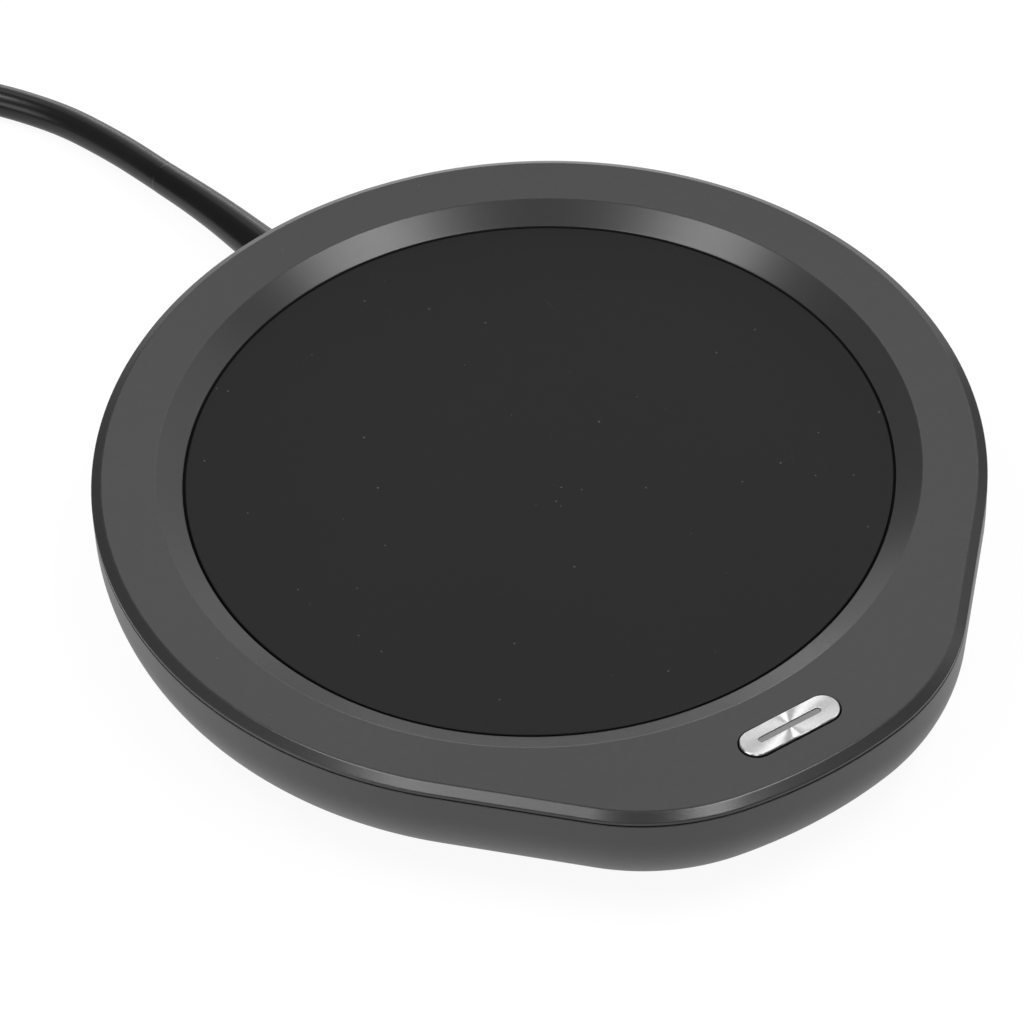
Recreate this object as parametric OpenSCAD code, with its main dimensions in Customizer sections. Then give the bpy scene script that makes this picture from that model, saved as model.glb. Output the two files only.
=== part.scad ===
// Electric mug warmer: a low round heater with a nose that carries one press button.
// Millimetres, +Z up. The origin is the middle of the body's footprint, on the surface it stands on.
// The nose points towards -Y and the power cord leaves towards +Y.

/* [Body outline] */
// Widest radius of the round body
rim_r = 63.2; // [62.6:0.1:64]
// Radius of the two corners of the nose
corner_r = 34.4; // [33:0.1:35.4]
// Length of the straight flank between the round body and each corner
flank_l = 21.6; // [20.6:0.1:23]
// Half the angle that the front arc of the nose spans; this one turns the flanks by an exact six-digit sine
nose_half_angle = 10.0302; // [8:0.0001:12]
// Height of the body without its feet
body_h = 20.2; // [20:0.1:22]
// Radius of the soft bottom edge
bottom_round = 15.2; // [13:0.1:15.6]
// Draft of the side wall, in degrees
draft = 1; // [0.5:0.5:2]
// Wall and floor thickness of the base
wall = 2.2; // [1.9:0.1:2.4]

/* [Top cover] */
// Width of the bevel round the top edge
bevel_w = 1.45; // [1:0.05:1.8]
// Height of the bevel
bevel_h = 0.9; // [0.6:0.05:1]
// Height of the upright band below the bevel
band_h = 0.45; // [0.3:0.05:0.6]
// Height of the dark groove between cover and base
groove_h = 0.35; // [0.2:0.05:0.5]
// Thickness of the cover's flat ring
roof_t = 2; // [1.8:0.1:2.2]
// Width of the dished slope, from above the plate's edge to the flat ring
dish_w = 4.1; // [3.4:0.1:5]
// Depth of the skirt that locates the cover inside the base
skirt_h = 2.6; // [2:0.1:3.2]
// Thickness of that skirt
skirt_t = 1.2; // [1:0.1:1.4]
// Clearance between skirt and base wall
lap_gap = 0.2; // [0.1:0.05:0.3]

/* [Heating plate] */
// Distance from the edge of the heating plate to the rim
plate_margin = 13.2; // [12.8:0.1:14.2]
// Thickness of the heating plate
plate_t = 3; // [2.6:0.1:3.2]
// Depth of the plate's top below the flat ring
plate_drop = 2; // [1.8:0.1:2.1]
// Gap round the plate
plate_gap = 0.35; // [0.25:0.05:0.5]
// Thickness of the gasket under the plate
gasket_t = 0.6; // [0.4:0.1:0.8]
// Width of the ledge that the plate rests on
ledge_w = 5.1; // [4.5:0.1:5.4]
// Thickness of the ledge
ledge_t = 1.8; // [1.5:0.1:2]

/* [Heater stack] */
// Gap between the cover's ledge and the aluminium heat spreader
stack_gap = 3.25; // [2.75:0.25:9.25]
// Thickness of the heat spreader
spreader_t = 1.2; // [0.8:0.1:1.4]
// Thickness of the film heater
heater_t = 0.6; // [0.4:0.1:0.8]
// Thickness of the insulation pad
pad_t = 2; // [1.5:0.1:2.2]
// Sheet thickness of the retainer tray
tray_t = 0.6; // [0.5:0.1:0.8]

/* [Button] */
// Distance from the front of the nose to the middle of the button
button_inset = 9.1; // [8.8:0.1:9.6]
// Length of the metal button cap
button_l = 15.6; // [14:0.1:16]
// Width of the metal button cap
button_w = 4.8; // [4.4:0.1:5]
// Height of the cap above the flat ring
button_proud = 0.3; // [0.2:0.05:0.5]
// Gap round the cap
button_gap = 0.25; // [0.2:0.05:0.35]
// Travel of the button
button_travel = 0.4; // [0.3:0.05:0.45]
// Length of the light slot
slot_l = 10.2; // [9:0.1:11]
// Width of the light slot
slot_w = 1; // [0.8:0.1:1.2]

/* [Feet and screws] */
// Radius of a rubber foot
foot_r = 6; // [5:0.1:6.4]
// Distance from the rim to the middle of a foot
foot_margin = 22.2; // [21.9:0.1:24]
// Height that the feet stand proud of the base
foot_proud = 0.8; // [0.6:0.1:1.2]
// Depth of the recess for a foot
foot_recess = 1; // [0.8:0.1:1.2]
// Shank radius of a case screw
case_screw_r = 1.3; // [1.2:0.05:1.5]
// Shank radius of the small screws
small_screw_r = 0.9; // [0.8:0.05:1]

/* [Power cord] */
// Diameter of the power cord
cord_d = 4.9; // [4.7:0.1:5]
// Height of the cord's centre where it leaves the base
cord_exit_z = 7.4; // [7.2:0.1:7.6]
// Radius of the bushing's neck in the base wall
bushing_r = 4; // [3.7:0.1:4.1]
// Diameter of a plug pin
pin_d = 4; // [3.9:0.05:4.1]
// Length of a plug pin
pin_l = 19; // [18:0.5:19.5]
// Distance between the plug pins
pin_pitch = 18.6; // [18:0.1:19]

/* [Hidden] */
$fn = 96;

slack = 0.05;                                   // running clearance of a screw, a pin or a loose fit
shallow = 0.1;                                  // overlap that makes a cut pass through a face
corner_x = rim_r - corner_r;                    // a corner's centre, across its flank from the plate's axis
nose_r = corner_r + norm([corner_x, flank_l]);  // reach of the nose from the plate's axis
axis_y = (nose_r - rim_r) / 2;                  // the plate's axis, seen from the middle of the footprint
plate_r = rim_r - plate_margin;
button_y = nose_r - button_inset;               // distance of the button from the plate's axis

// Levels, from the standing surface up
base_z = foot_proud;
floor_z = base_z + wall;
ring_top = base_z + body_h;
cover_edge_z = ring_top - bevel_h - band_h;
wall_top = cover_edge_z - groove_h;
roof_z = ring_top - roof_t;
skirt_z = cover_edge_z - skirt_h;
plate_top = ring_top - plate_drop;
plate_z = plate_top - plate_t;
ledge_top = plate_z - gasket_t;
ledge_z = ledge_top - ledge_t;
heater_z = plate_z - spreader_t - heater_t;
pad_z = heater_z - pad_t;
tray_z = pad_z - tray_t;

// Radii about the plate's axis
bore_r = plate_r + plate_gap;
dish_r = plate_r + dish_w;
dish_slope = (dish_r - bore_r) / plate_drop;
collar_r = bore_r + 2.05;
ledge_r = bore_r - ledge_w;
spreader_r = ledge_r - stack_gap;
heater_r = spreader_r - 2;
pad_r = spreader_r - 1;
tray_r = spreader_r + 0.4;

// Case screws: the base's columns meet the cover's bosses at split_z
case_angles = [62, 118, -68, -112];
case_r = bore_r - 3.85;
split_z = floor_z + 3;
column_r = 4.2;
boss_r = 3.1;
counterbore_r = 3;
counterbore_top = base_z + 2.6;
case_screw_l = 8;
case_head_h = 1.8;

// Tray screws hang the heater stack from the cover's ledge
tray_angles = [30, 150, 270];
tray_screw_r = bore_r - 2.6;
tray_boss_r = 2.4;
tray_arm_w = 6.4;
tray_screw_l = 3.2;
small_head_r = 1.9;
small_head_h = 1.2;

// Main board
board_t = 1.6;
board_z = floor_z + 1.2;
board_top = board_z + board_t;
board_r = 38;
board_rear = 20;
board_front = 31;
board_post_r = 2.6;
board_posts = [[30, -12], [-30, -12], [0, 16.5]];
board_screw_l = 3.4;

// Button and its switch, from the roof down
button_top = ring_top + button_proud;
flange_gap = 0.1;
flange_top = roof_z - flange_gap;
flange_t = 1.1;
flange_z = flange_top - flange_t;
flange_l = button_l + 2.8;
flange_w = button_w + 2.8;
cap_t = 0.5;
cap_bevel = 0.3;
plug_fit = 0.1;
pip_h = 0.5;
plunger_top = flange_z - pip_h;
guide_gap = 0.2;
guide_t = 0.9;
guide_h = 2.4;
switch_w = 6;
switch_h = 4.3;
small_board_t = 1;
small_board_top = plunger_top - switch_h;
small_board_z = small_board_top - small_board_t;
small_board_l = 32;
small_board_front = button_y + 3.9;
small_board_rear = button_y - 4.8;
small_post_x = 13;
small_post_r = 2.2;
switch_top = small_board_top + 3.5;
frame_t = 0.3;
switch_floor = 0.4;
dome_h = 0.8;
plunger_r = 1.75;
plunger_z = small_board_top + switch_floor + dome_h;

// Cord outlet
cord_r = cord_d / 2;
round_z = base_z + bottom_round;
exit_drop = round_z - cord_exit_z;
exit_y = rim_r - bottom_round + sqrt(bottom_round * bottom_round - exit_drop * exit_drop);
bushing_flange_y = exit_y - 9.5;
bushing_flange_t = 1.6;
bushing_lip = 1.5;
bushing_pad_r = bushing_r + 2.3;
neck_l = 1.5;
boot_start = 2;
boot_sides = 16;
cord_sides = 10;
clamp_y = bushing_flange_y - 5.3;
clamp_w = 6;
clamp_l = 19;
clamp_t = 2;
clamp_screw_x = 6.6;
clamp_post_r = 2.6;

// Feet
foot_angles = [43, 137, -50, -130];
foot_ring = rim_r - foot_margin;

// Route of the cord from inside the clamp to the coil, about the plate's axis
cord_route = [
    [0, 41, 7.4], [0, 50, 7.4], [0, 60.5, 7.4], [-1.1, 70.5, 6.8], [-2.3, 81.5, 6.1], [-3.4, 89.3, 5.5],
    [-4.6, 96.6, 4.8], [-5.8, 103.9, 4.1], [-7.3, 110.9, 3.4], [-9.2, 117.4, 2.8], [-11.7, 122.8, 2.5],
    [-14.6, 127.4, 2.5], [-18.6, 132.3, 2.5], [-24.4, 136.8, 2.5], [-31.2, 139.6, 2.5], [-38.4, 140.5, 2.6],
    [-48, 140.5, 2.8], [-58, 140.4, 3], [-66, 140.4, 3]
];
// The coil: flat on the surface, two layers of three turns, a tie round it
coil_centre = [-76, 106];
coil_turns = 3;
coil_mean_r = 27;
tie_t = 0.6;
tie_w = 7;
tie_angle = -45;
coil_inner_r = coil_mean_r - coil_turns * cord_d / 2 - cord_r;
coil_outer_r = coil_mean_r + coil_turns * cord_d / 2 + cord_r;
coil_h = 2 * cord_d;
// Route of the cord from the coil to the plug
plug_route = [
    [-110.4, 106, 8], [-110.4, 99, 7.9], [-110.4, 92, 7.2], [-110.4, 86, 6.85], [-110.4, 80, 6.85]
];
plug_h = 13.7;
plug_w = 35.3;
plug_flat_w = 26.1;
plug_l = 36;
plug_boot_l = 16;
plug_entry = [-110.4, 86];
pin_seat = 6;

// ---------------------------------------------------------------------------------------------
// Shared shapes

module on_axis() translate([0, axis_y, 0]) children();

module at_angles(angles, radius)
    for (a = angles)
        rotate([0, 0, a]) translate([radius, 0, 0]) children();

// Half of a moulding's section for a given reach; edge lists [inset, z] points from the bottom up
function half_section(reach, edge) = concat(
    [[0, edge[0][1]]],
    [for (p = edge) [reach - p[0], p[1]]],
    [[0, edge[len(edge) - 1][1]]]
);

function upright(inset, low, high) = [[inset, low], [inset, high]];

// The soft edge of the base, moved inwards by w
round_inset = (wall_top - round_z) * tan(draft) + bottom_round / cos(draft);
round_steps = 12;

function soft_edge(w, top) = concat(
    [for (i = [0:round_steps])
        let (a = -90 + (90 - draft) * i / round_steps)
        [round_inset - (bottom_round - w) * cos(a), round_z + (bottom_round - w) * sin(a)]],
    [[w / cos(draft) + (wall_top - top) * tan(draft), top]]
);

// Carries an edge once round the body's outline. Each side is worked out from its flank: local +X points
// across the flank and -Y runs along it to the nose. Neighbours are cut by the same planes, so they share them:
// the flank's two ends, and the line from the plate's axis through the corner's centre.
flank_angle = nose_half_angle + atan2(flank_l, corner_x);
corner_centre = [corner_x, -flank_l];
far = 3;                                        // how far the cutting wedges reach, in corner distances
past_middle = 5.5;                              // how far they turn past the nose's middle, in degrees
far_edge = far * corner_x * [1, -tan(flank_angle + past_middle)];
module each_flank() for (side = [0, 1]) mirror([0, side, 0]) rotate([0, 0, flank_angle]) children();

module wedge(edge, corners) translate([0, 0, edge[0][1] - shallow])
    linear_extrude(edge[len(edge) - 1][1] - edge[0][1] + 2 * shallow) polygon(corners);

module lobed(edge) rotate([0, 0, -90]) {
    // The round body, behind the flanks' ends
    difference() {
        rotate_extrude() polygon(half_section(rim_r, edge));
        each_flank() wedge(edge, [[0, 0], [far * corner_x, 0], far_edge]);
    }
    // The front arc of the nose
    intersection() {
        rotate_extrude() polygon(half_section(nose_r, edge));
        each_flank() wedge(edge, [[0, 0], far * corner_centre, far_edge]);
    }
    each_flank() {
        // The straight flank
        translate([corner_x, 0, 0]) rotate([90, 0, 0]) linear_extrude(flank_l)
            polygon(half_section(corner_r, edge));
        // The corner
        intersection() {
            translate(corner_centre) rotate_extrude() polygon(half_section(corner_r, edge));
            wedge(edge, [corner_centre, [far * corner_x, -flank_l], far * corner_centre]);
        }
        // What lies between the plate's axis and the flank
        translate([0, 0, edge[0][1]]) linear_extrude(edge[len(edge) - 1][1] - edge[0][1])
            polygon([[0, 0], [corner_x, 0], corner_centre]);
    }
}

// A bar with round ends, whose edge is given as [inset, z] points from the bottom up
module pill(length, width, edge) {
    low = edge[0][1];
    reach = width / 2;
    half = length / 2 - reach;
    section = [for (p = half_section(reach, edge)) p];
    translate([-half, 0, 0]) rotate([90, 0, 90]) linear_extrude(2 * half)
        union() {
            polygon(section);
            mirror([1, 0]) polygon(section);
        }
    for (side = [0, 1]) rotate([0, 0, 180 * side]) translate([half, 0, 0]) rotate([0, 0, -90])
        rotate_extrude(angle = 180) polygon(section);
}

module at_button() translate([0, -button_y, 0]) children();

// A cross-head screw; its seat is at the origin, its shank runs down and its head up
module screw(shank_r, shank_l, head_r, head_h) {
    cross_w = shank_r * 0.55;
    translate([0, 0, -shank_l]) cylinder(r = shank_r, h = shank_l + shallow);
    difference() {
        cylinder(r = head_r, h = head_h);
        for (a = [0, 90]) rotate([0, 0, a])
            translate([-head_r * 0.55, -cross_w / 2, head_h * 0.45]) cube([head_r * 1.1, cross_w, head_h]);
    }
}

// Direction of a route at point i, and the ring of points there
function unit(v) = v / norm(v);
function heading(route, i) = unit(route[min(i + 1, len(route) - 1)] - route[max(i - 1, 0)]);
function ring(route, i, r, sides, side_dir) =
    let (t = heading(route, i), n = unit(cross(t, side_dir)), b = cross(n, t))
    [for (k = [0:sides - 1]) route[i] + r * (cos(360 * k / sides) * n + sin(360 * k / sides) * b)];

// A closed tube along a route, with one radius for each point; the route never runs along side_dir
module tapered_tube(route, radii, sides, side_dir = [0, 0, 1]) {
    last = len(route) - 1;
    points = [for (i = [0:last]) for (p = ring(route, i, radii[i], sides, side_dir)) p];
    sleeve = [for (i = [0:last - 1]) for (k = [0:sides - 1])
        let (a = i * sides + k, b = i * sides + (k + 1) % sides)
        [a, b, b + sides, a + sides]];
    near = [for (k = [0:sides - 1]) sides - 1 - k];
    far = [for (k = [0:sides - 1]) last * sides + k];
    polyhedron(points, concat([near], sleeve, [far]));
}

module tube(route, r, sides, side_dir = [0, 0, 1])
    tapered_tube(route, [for (p = route) r], sides, side_dir);

// ---------------------------------------------------------------------------------------------
// Housing

module base_shell() color("#37373a") on_axis() difference() {
    lobed(concat(soft_edge(0, wall_top), upright(wall / 2, wall_top, cover_edge_z)));
    // The cavity, without the posts and pads that stand in it
    difference() {
        lobed(soft_edge(wall, cover_edge_z + shallow));
        at_angles(case_angles, case_r) cylinder(r = column_r, h = split_z);
        for (p = board_posts) translate([p[0], p[1], 0])
            cylinder(r = board_post_r, h = board_z);
        translate([0, bushing_flange_y + bushing_flange_t, cord_exit_z]) rotate([-90, 0, 0])
            cylinder(r = bushing_pad_r, h = rim_r - bushing_flange_y);
        translate([-clamp_screw_x, clamp_y - clamp_w / 2, 0])
            cube([2 * clamp_screw_x, clamp_w, cord_exit_z - cord_r]);
        for (side = [-1, 1]) translate([side * clamp_screw_x, clamp_y, 0])
            cylinder(r = clamp_post_r, h = cord_exit_z + cord_r);
    }
    at_angles(case_angles, case_r) {
        translate([0, 0, base_z - shallow]) cylinder(r = counterbore_r, h = counterbore_top - base_z + shallow);
        cylinder(r = case_screw_r + 0.2, h = split_z + shallow);
    }
    at_angles(foot_angles, foot_ring) translate([0, 0, base_z - shallow])
        cylinder(r = foot_r + 0.15, h = foot_recess + shallow);
    for (p = board_posts) translate([p[0], p[1], board_top - board_screw_l - 0.3])
        cylinder(r = small_screw_r + slack, h = board_screw_l);
    for (side = [-1, 1]) translate([side * clamp_screw_x, clamp_y, cord_exit_z + cord_r - 4])
        cylinder(r = small_screw_r + slack, h = 4 + shallow);
    translate([0, bushing_flange_y, cord_exit_z]) rotate([-90, 0, 0])
        cylinder(r = bushing_r + slack, h = rim_r - bushing_flange_y);
}

module top_cover() color("#4a4a4d") on_axis() {
    difference() {
        union() {
            difference() {
                lobed([
                    [wall + lap_gap, skirt_z], [wall + lap_gap, cover_edge_z], [0, cover_edge_z],
                    [0, cover_edge_z + band_h], [bevel_w, ring_top]
                ]);
                lobed(upright(wall + lap_gap + skirt_t, skirt_z - shallow, roof_z));
            }
            translate([0, 0, ledge_z]) cylinder(r = collar_r, h = roof_z + shallow - ledge_z);
            at_angles(case_angles, case_r) translate([0, 0, split_z])
                cylinder(r = boss_r, h = ledge_z + shallow - split_z);
            at_angles(tray_angles, tray_screw_r) translate([0, 0, tray_z + tray_t])
                cylinder(r = tray_boss_r, h = ledge_z + shallow - tray_z - tray_t);
            for (side = [-1, 1]) translate([side * small_post_x, -button_y, small_board_top])
                cylinder(r = small_post_r, h = roof_z + shallow - small_board_top);
            at_button() pill(flange_l + 2 * (guide_gap + guide_t), flange_w + 2 * (guide_gap + guide_t),
                upright(0, roof_z - guide_h, roof_z + shallow));
        }
        // Seat of the plate and the dished slope above it
        rotate_extrude() polygon([
            [0, ledge_top], [bore_r, ledge_top], [bore_r, plate_top],
            [dish_r + shallow * dish_slope, ring_top + shallow], [0, ring_top + shallow]
        ]);
        translate([0, 0, ledge_z - shallow]) cylinder(r = ledge_r, h = ledge_t + 2 * shallow);
        at_angles(case_angles, case_r) translate([0, 0, split_z - shallow])
            cylinder(r = case_screw_r + slack, h = case_screw_l);
        at_angles(tray_angles, tray_screw_r) translate([0, 0, tray_z])
            cylinder(r = small_screw_r + slack, h = tray_screw_l);
        for (side = [-1, 1]) translate([side * small_post_x, -button_y, small_board_z])
            cylinder(r = small_screw_r + slack, h = 5);
        at_button() pill(flange_l + 2 * guide_gap, flange_w + 2 * guide_gap,
            upright(0, roof_z - guide_h - shallow, roof_z));
        at_button() pill(button_l + 2 * button_gap, button_w + 2 * button_gap,
            upright(0, roof_z - shallow, ring_top + shallow));
    }
}

// ---------------------------------------------------------------------------------------------
// Heating plate and the stack below it

plate_bevel = 0.3;
gasket_gap = 0.03;
sensor_r = 2.4;
lead_holes = [[28, -6], [28, -12]];

module heating_plate() color("#1e1e1f") on_axis()
    rotate_extrude() polygon([
        [0, plate_z], [plate_r, plate_z], [plate_r, plate_top - plate_bevel],
        [plate_r - plate_bevel, plate_top], [0, plate_top]
    ]);

module plate_gasket() color("#101010") on_axis()
    rotate_extrude() polygon([
        [ledge_r + 1, ledge_top], [bore_r - gasket_gap, ledge_top], [bore_r - gasket_gap, plate_top - 0.7],
        [plate_r + gasket_gap, plate_top - 0.7], [plate_r + gasket_gap, plate_z], [ledge_r + 1, plate_z]
    ]);

module heat_spreader() color("#c9ccd0") on_axis()
    translate([0, 0, plate_z - spreader_t]) cylinder(r = spreader_r, h = spreader_t);

module film_heater() color("#b0702c") on_axis() difference() {
    translate([0, 0, heater_z]) cylinder(r = heater_r, h = heater_t);
    translate([0, 0, heater_z - shallow]) cylinder(r = sensor_r + 0.6, h = heater_t + 2 * shallow);
}

module insulation_pad() color("#e6e2d6") on_axis() difference() {
    translate([0, 0, pad_z]) cylinder(r = pad_r, h = pad_t);
    translate([0, 0, pad_z - shallow]) cylinder(r = sensor_r + 0.6, h = pad_t + 2 * shallow);
    for (p = lead_holes) translate([p[0], p[1], pad_z - shallow]) cylinder(r = 1.6, h = pad_t + 2 * shallow);
}

module retainer_tray() color("#b9bcc0") on_axis() difference() {
    union() {
        rotate_extrude() polygon([
            [0, tray_z], [tray_r, tray_z], [tray_r, pad_z + 1.2], [tray_r - tray_t, pad_z + 1.2],
            [tray_r - tray_t, pad_z], [0, pad_z]
        ]);
        for (a = tray_angles) rotate([0, 0, a]) {
            translate([tray_r - 1, -tray_arm_w / 2, tray_z]) cube([tray_screw_r - tray_r + 1, tray_arm_w, tray_t]);
            translate([tray_screw_r, 0, tray_z]) cylinder(r = tray_arm_w / 2, h = tray_t);
        }
    }
    at_angles(tray_angles, tray_screw_r) translate([0, 0, tray_z - shallow])
        cylinder(r = small_screw_r + 0.2, h = tray_t + 2 * shallow);
    translate([0, 0, tray_z - shallow]) cylinder(r = sensor_r + 0.5, h = tray_t + 2 * shallow);
    for (p = lead_holes) translate([p[0], p[1], tray_z - shallow]) cylinder(r = 1.6, h = tray_t + 2 * shallow);
}

module tray_screws() color("#9a9da1") on_axis()
    at_angles(tray_angles, tray_screw_r) translate([0, 0, tray_z]) mirror([0, 0, 1])
        screw(small_screw_r, tray_screw_l - 0.2, small_head_r, small_head_h);

module temperature_sensor() color("#d8d2c2") on_axis()
    translate([0, 0, tray_z - 0.4]) cylinder(r = sensor_r, h = plate_z - spreader_t - tray_z + 0.4);

module sensor_clip() color("#a9acb0") on_axis() difference() {
    union() {
        translate([-10, -2.5, tray_z - 0.8]) cube([20, 5, 0.4]);
        for (side = [-1, 1]) translate([side * 7.5, 0, tray_z - 0.8]) cylinder(r = 2, h = 0.8);
    }
    translate([0, 0, tray_z - 1]) cylinder(r = 1.5, h = 1);
}

fuse_r = 2;
module thermal_fuse() color("#d9d4c8") on_axis()
    translate([11.5, 8, tray_z - fuse_r]) rotate([0, 90, 0]) {
        cylinder(r = fuse_r, h = 9);
        translate([0, 0, -4]) cylinder(r = 0.5, h = 17);
    }

// ---------------------------------------------------------------------------------------------
// Main board

module main_board() color("#2f6b43") on_axis() difference() {
    intersection() {
        translate([0, 0, board_z]) cylinder(r = board_r, h = board_t);
        translate([-board_r, -board_front, board_z]) cube([2 * board_r, board_front + board_rear, board_t]);
    }
    for (p = board_posts) translate([p[0], p[1], board_z - shallow])
        cylinder(r = small_screw_r + 0.2, h = board_t + 2 * shallow);
}

module board_screws() color("#9a9da1") on_axis()
    for (p = board_posts) translate([p[0], p[1], board_top])
        screw(small_screw_r, board_screw_l, small_head_r, small_head_h);

// A box that stands on the main board, with its middle at the given place
module on_board(x, y, size) translate([x - size[0] / 2, y - size[1] / 2, board_top]) cube(size);

module film_capacitor() color("#c8a032") on_axis() on_board(-17, 10, [18, 8, 5.2]);

can_r = 2.5;
module filter_capacitor() color("#26324a") on_axis()
    translate([-7, -20, board_top + can_r]) rotate([-90, 0, 0]) cylinder(r = can_r, h = 11);

module triac() color("#1b1b1c") on_axis() {
    on_board(15, -3, [10, 9, 4.4]);
    on_board(23, -3, [6, 9, 1.2]);
}

module bridge_rectifier() color("#1b1b1c") on_axis() {
    on_board(-19, -7, [4.7, 3.9, 2.5]);
    for (dx = [-1.3, 1.3]) on_board(-19 + dx, -7, [0.7, 6.6, 0.3]);
}

line_fuse_r = 1.8;
module line_fuse() color("#7a4a2a") on_axis()
    translate([5, 12.5, board_top + line_fuse_r]) rotate([0, 90, 0]) {
        cylinder(r = line_fuse_r, h = 8);
        translate([0, 0, -1.5]) cylinder(r = 0.4, h = 11);
    }

module control_chip() color("#1b1b1c") on_axis() {
    on_board(7, -19, [8.7, 3.9, 1.5]);
    for (i = [-3:3]) on_board(7 + 1.27 * i, -19, [0.4, 6, 0.3]);
}

// Blocks for the mains, the heater and the button's harness: middle and size of each
block_h = 4.8;
mains_block = [22, 14, 9, 7];
heater_block = [30, 4, 7, 8];
harness_block = [0, -28, 9, 4];
module terminal_blocks() color("#ece9e0") on_axis()
    for (b = [mains_block, heater_block, harness_block]) on_board(b[0], b[1], [b[2], b[3], block_h]);

// Each lead ends square, just clear of the block or the cord that holds it
lead_r = 0.8;
lead_gap = 0.1;
lead_z = board_top + 2.6;
heater_end = heater_block[1] - heater_block[3] / 2 - lead_gap;
module heater_leads() color("#b03a30") on_axis() {
    tube([[28, -6, heater_z], [28, -6, 12], [28.3, -5.6, 10.6], [28.6, -3.4, 9.2], [28.6, -1.6, lead_z],
        [28.6, heater_end, lead_z]], lead_r, 8, [1, 0, 0]);
    tube([[28, -12, heater_z], [28, -12, 12], [29, -11.5, 10.4], [31.2, -6, 9], [31.4, -2.4, lead_z],
        [31.4, heater_end, lead_z]], lead_r, 8, [1, 0, 0]);
}

thin_lead_r = 0.45;
sensor_end = harness_block[1] + harness_block[3] / 2 + lead_gap;
module sensor_leads() color("#8a8a8a") on_axis()
    for (side = [-1, 1])
        tube([[side * 0.7, 0, tray_z - 0.4 - lead_gap], [side * 0.7, 0, 10.6], [side * 0.8, -1, 9.7],
            [side * 0.9, -4, 9.2], [side * 1.2, -14, 9], [side * 1.2, -22, 9], [side * 1.2, sensor_end, 9]],
            thin_lead_r, 8, [1, 0, 0]);

mains_start = cord_route[0][1] - lead_gap;
mains_end = mains_block[1] + mains_block[3] / 2 + lead_gap;
module mains_leads() color("#6b4a2f") on_axis() {
    tube([[1.1, mains_start, cord_exit_z], [1.1, mains_start - 1.5, cord_exit_z], [2.8, 36.5, 7.8], [7, 32.5, 8.4],
        [14, 28.5, 8.8], [20.5, 25.5, 8.8], [24, 20, lead_z], [24, mains_end, lead_z]], lead_r, 8);
    tube([[-1.1, mains_start, cord_exit_z], [-1.1, mains_start - 1.5, cord_exit_z], [-0.4, 35, 7.8], [5, 29, 8.4],
        [12, 25, 8.8], [17.2, 22.5, 8.8], [20, 19.4, lead_z], [20, mains_end, lead_z]], lead_r, 8);
}

// ---------------------------------------------------------------------------------------------
// Button, its switch and the small board

module button_board() color("#2f6b43") on_axis() difference() {
    translate([-small_board_l / 2, -small_board_front, small_board_z])
        cube([small_board_l, small_board_front - small_board_rear, small_board_t]);
    for (side = [-1, 1]) translate([side * small_post_x, -button_y, small_board_z - shallow])
        cylinder(r = small_screw_r + 0.2, h = small_board_t + 2 * shallow);
}

module button_board_screws() color("#9a9da1") on_axis()
    for (side = [-1, 1]) translate([side * small_post_x, -button_y, small_board_z]) mirror([0, 0, 1])
        screw(small_screw_r, 4.6, small_head_r, small_head_h);

harness_t = 0.6;
harness_w = 5;
harness_z = board_top + 1.6;
harness_end = harness_block[1] - harness_block[3] / 2;
module button_harness() color("#d6d3cb") on_axis()
    translate([harness_w / 2, 0, 0]) rotate([90, 0, -90]) mirror([1, 0, 0]) linear_extrude(harness_w)
        polygon([
            [-small_board_rear - 1.5, small_board_z], [-small_board_rear - 1.5, small_board_z - 1.6],
            [8.5 - small_board_rear, harness_z + 0.6], [harness_end - 8, harness_z], [harness_end, harness_z],
            [harness_end, harness_z + harness_t], [harness_end - 8, harness_z + harness_t],
            [8.9 - small_board_rear, harness_z + 0.6 + harness_t],
            [-small_board_rear - 0.9, small_board_z - 1.2], [-small_board_rear - 0.9, small_board_z]
        ]);

module status_leds() color("#f2f0e4") on_axis()
    for (side = [-1, 1]) translate([side * 6.6 - 1.6, -button_y - 1.4, small_board_top]) cube([3.2, 2.8, 1.8]);

module switch_base() color("#1b1b1c") on_axis() difference() {
    translate([-switch_w / 2, -button_y - switch_w / 2, small_board_top])
        cube([switch_w, switch_w, switch_top - frame_t - small_board_top]);
    translate([0, -button_y, small_board_top + switch_floor]) cylinder(r = 2.75, h = switch_h);
}

module switch_frame() color("#c4c7ca") on_axis() difference() {
    translate([-switch_w / 2, -button_y - switch_w / 2, switch_top - frame_t]) cube([switch_w, switch_w, frame_t]);
    translate([0, -button_y, switch_top - 1]) cylinder(r = plunger_r + 0.1, h = 2);
}

module switch_terminals() color("#c4c7ca") on_axis()
    for (sx = [-1, 1]) for (sy = [-1, 1])
        translate([sx * (switch_w / 2 + 0.6) - 0.6, -button_y + sy * 2.25 - 0.35, small_board_top])
            cube([1.2, 0.7, 0.3]);

dome_r = 2.4;
dome_t = 0.12;
dome_sphere_r = (dome_r * dome_r + dome_h * dome_h) / (2 * dome_h);
module switch_dome() color("#d9dbdd") on_axis() at_button()
    translate([0, 0, small_board_top + switch_floor]) difference() {
        intersection() {
            translate([0, 0, dome_h - dome_sphere_r]) sphere(r = dome_sphere_r);
            cylinder(r = dome_r, h = dome_h);
        }
        translate([0, 0, dome_h - dome_sphere_r]) sphere(r = dome_sphere_r - dome_t);
    }

module switch_plunger() color("#232325") on_axis() at_button() {
    translate([0, 0, plunger_z]) cylinder(r = 2.4, h = switch_top - frame_t - slack - plunger_z);
    translate([0, 0, plunger_z]) cylinder(r = plunger_r, h = plunger_top - plunger_z);
}

light_base_h = 0.85;
cap_inner_l = button_l - 2 * cap_t;
cap_inner_w = button_w - 2 * cap_t;
carrier_top = button_top - cap_t - light_base_h - slack;

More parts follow.
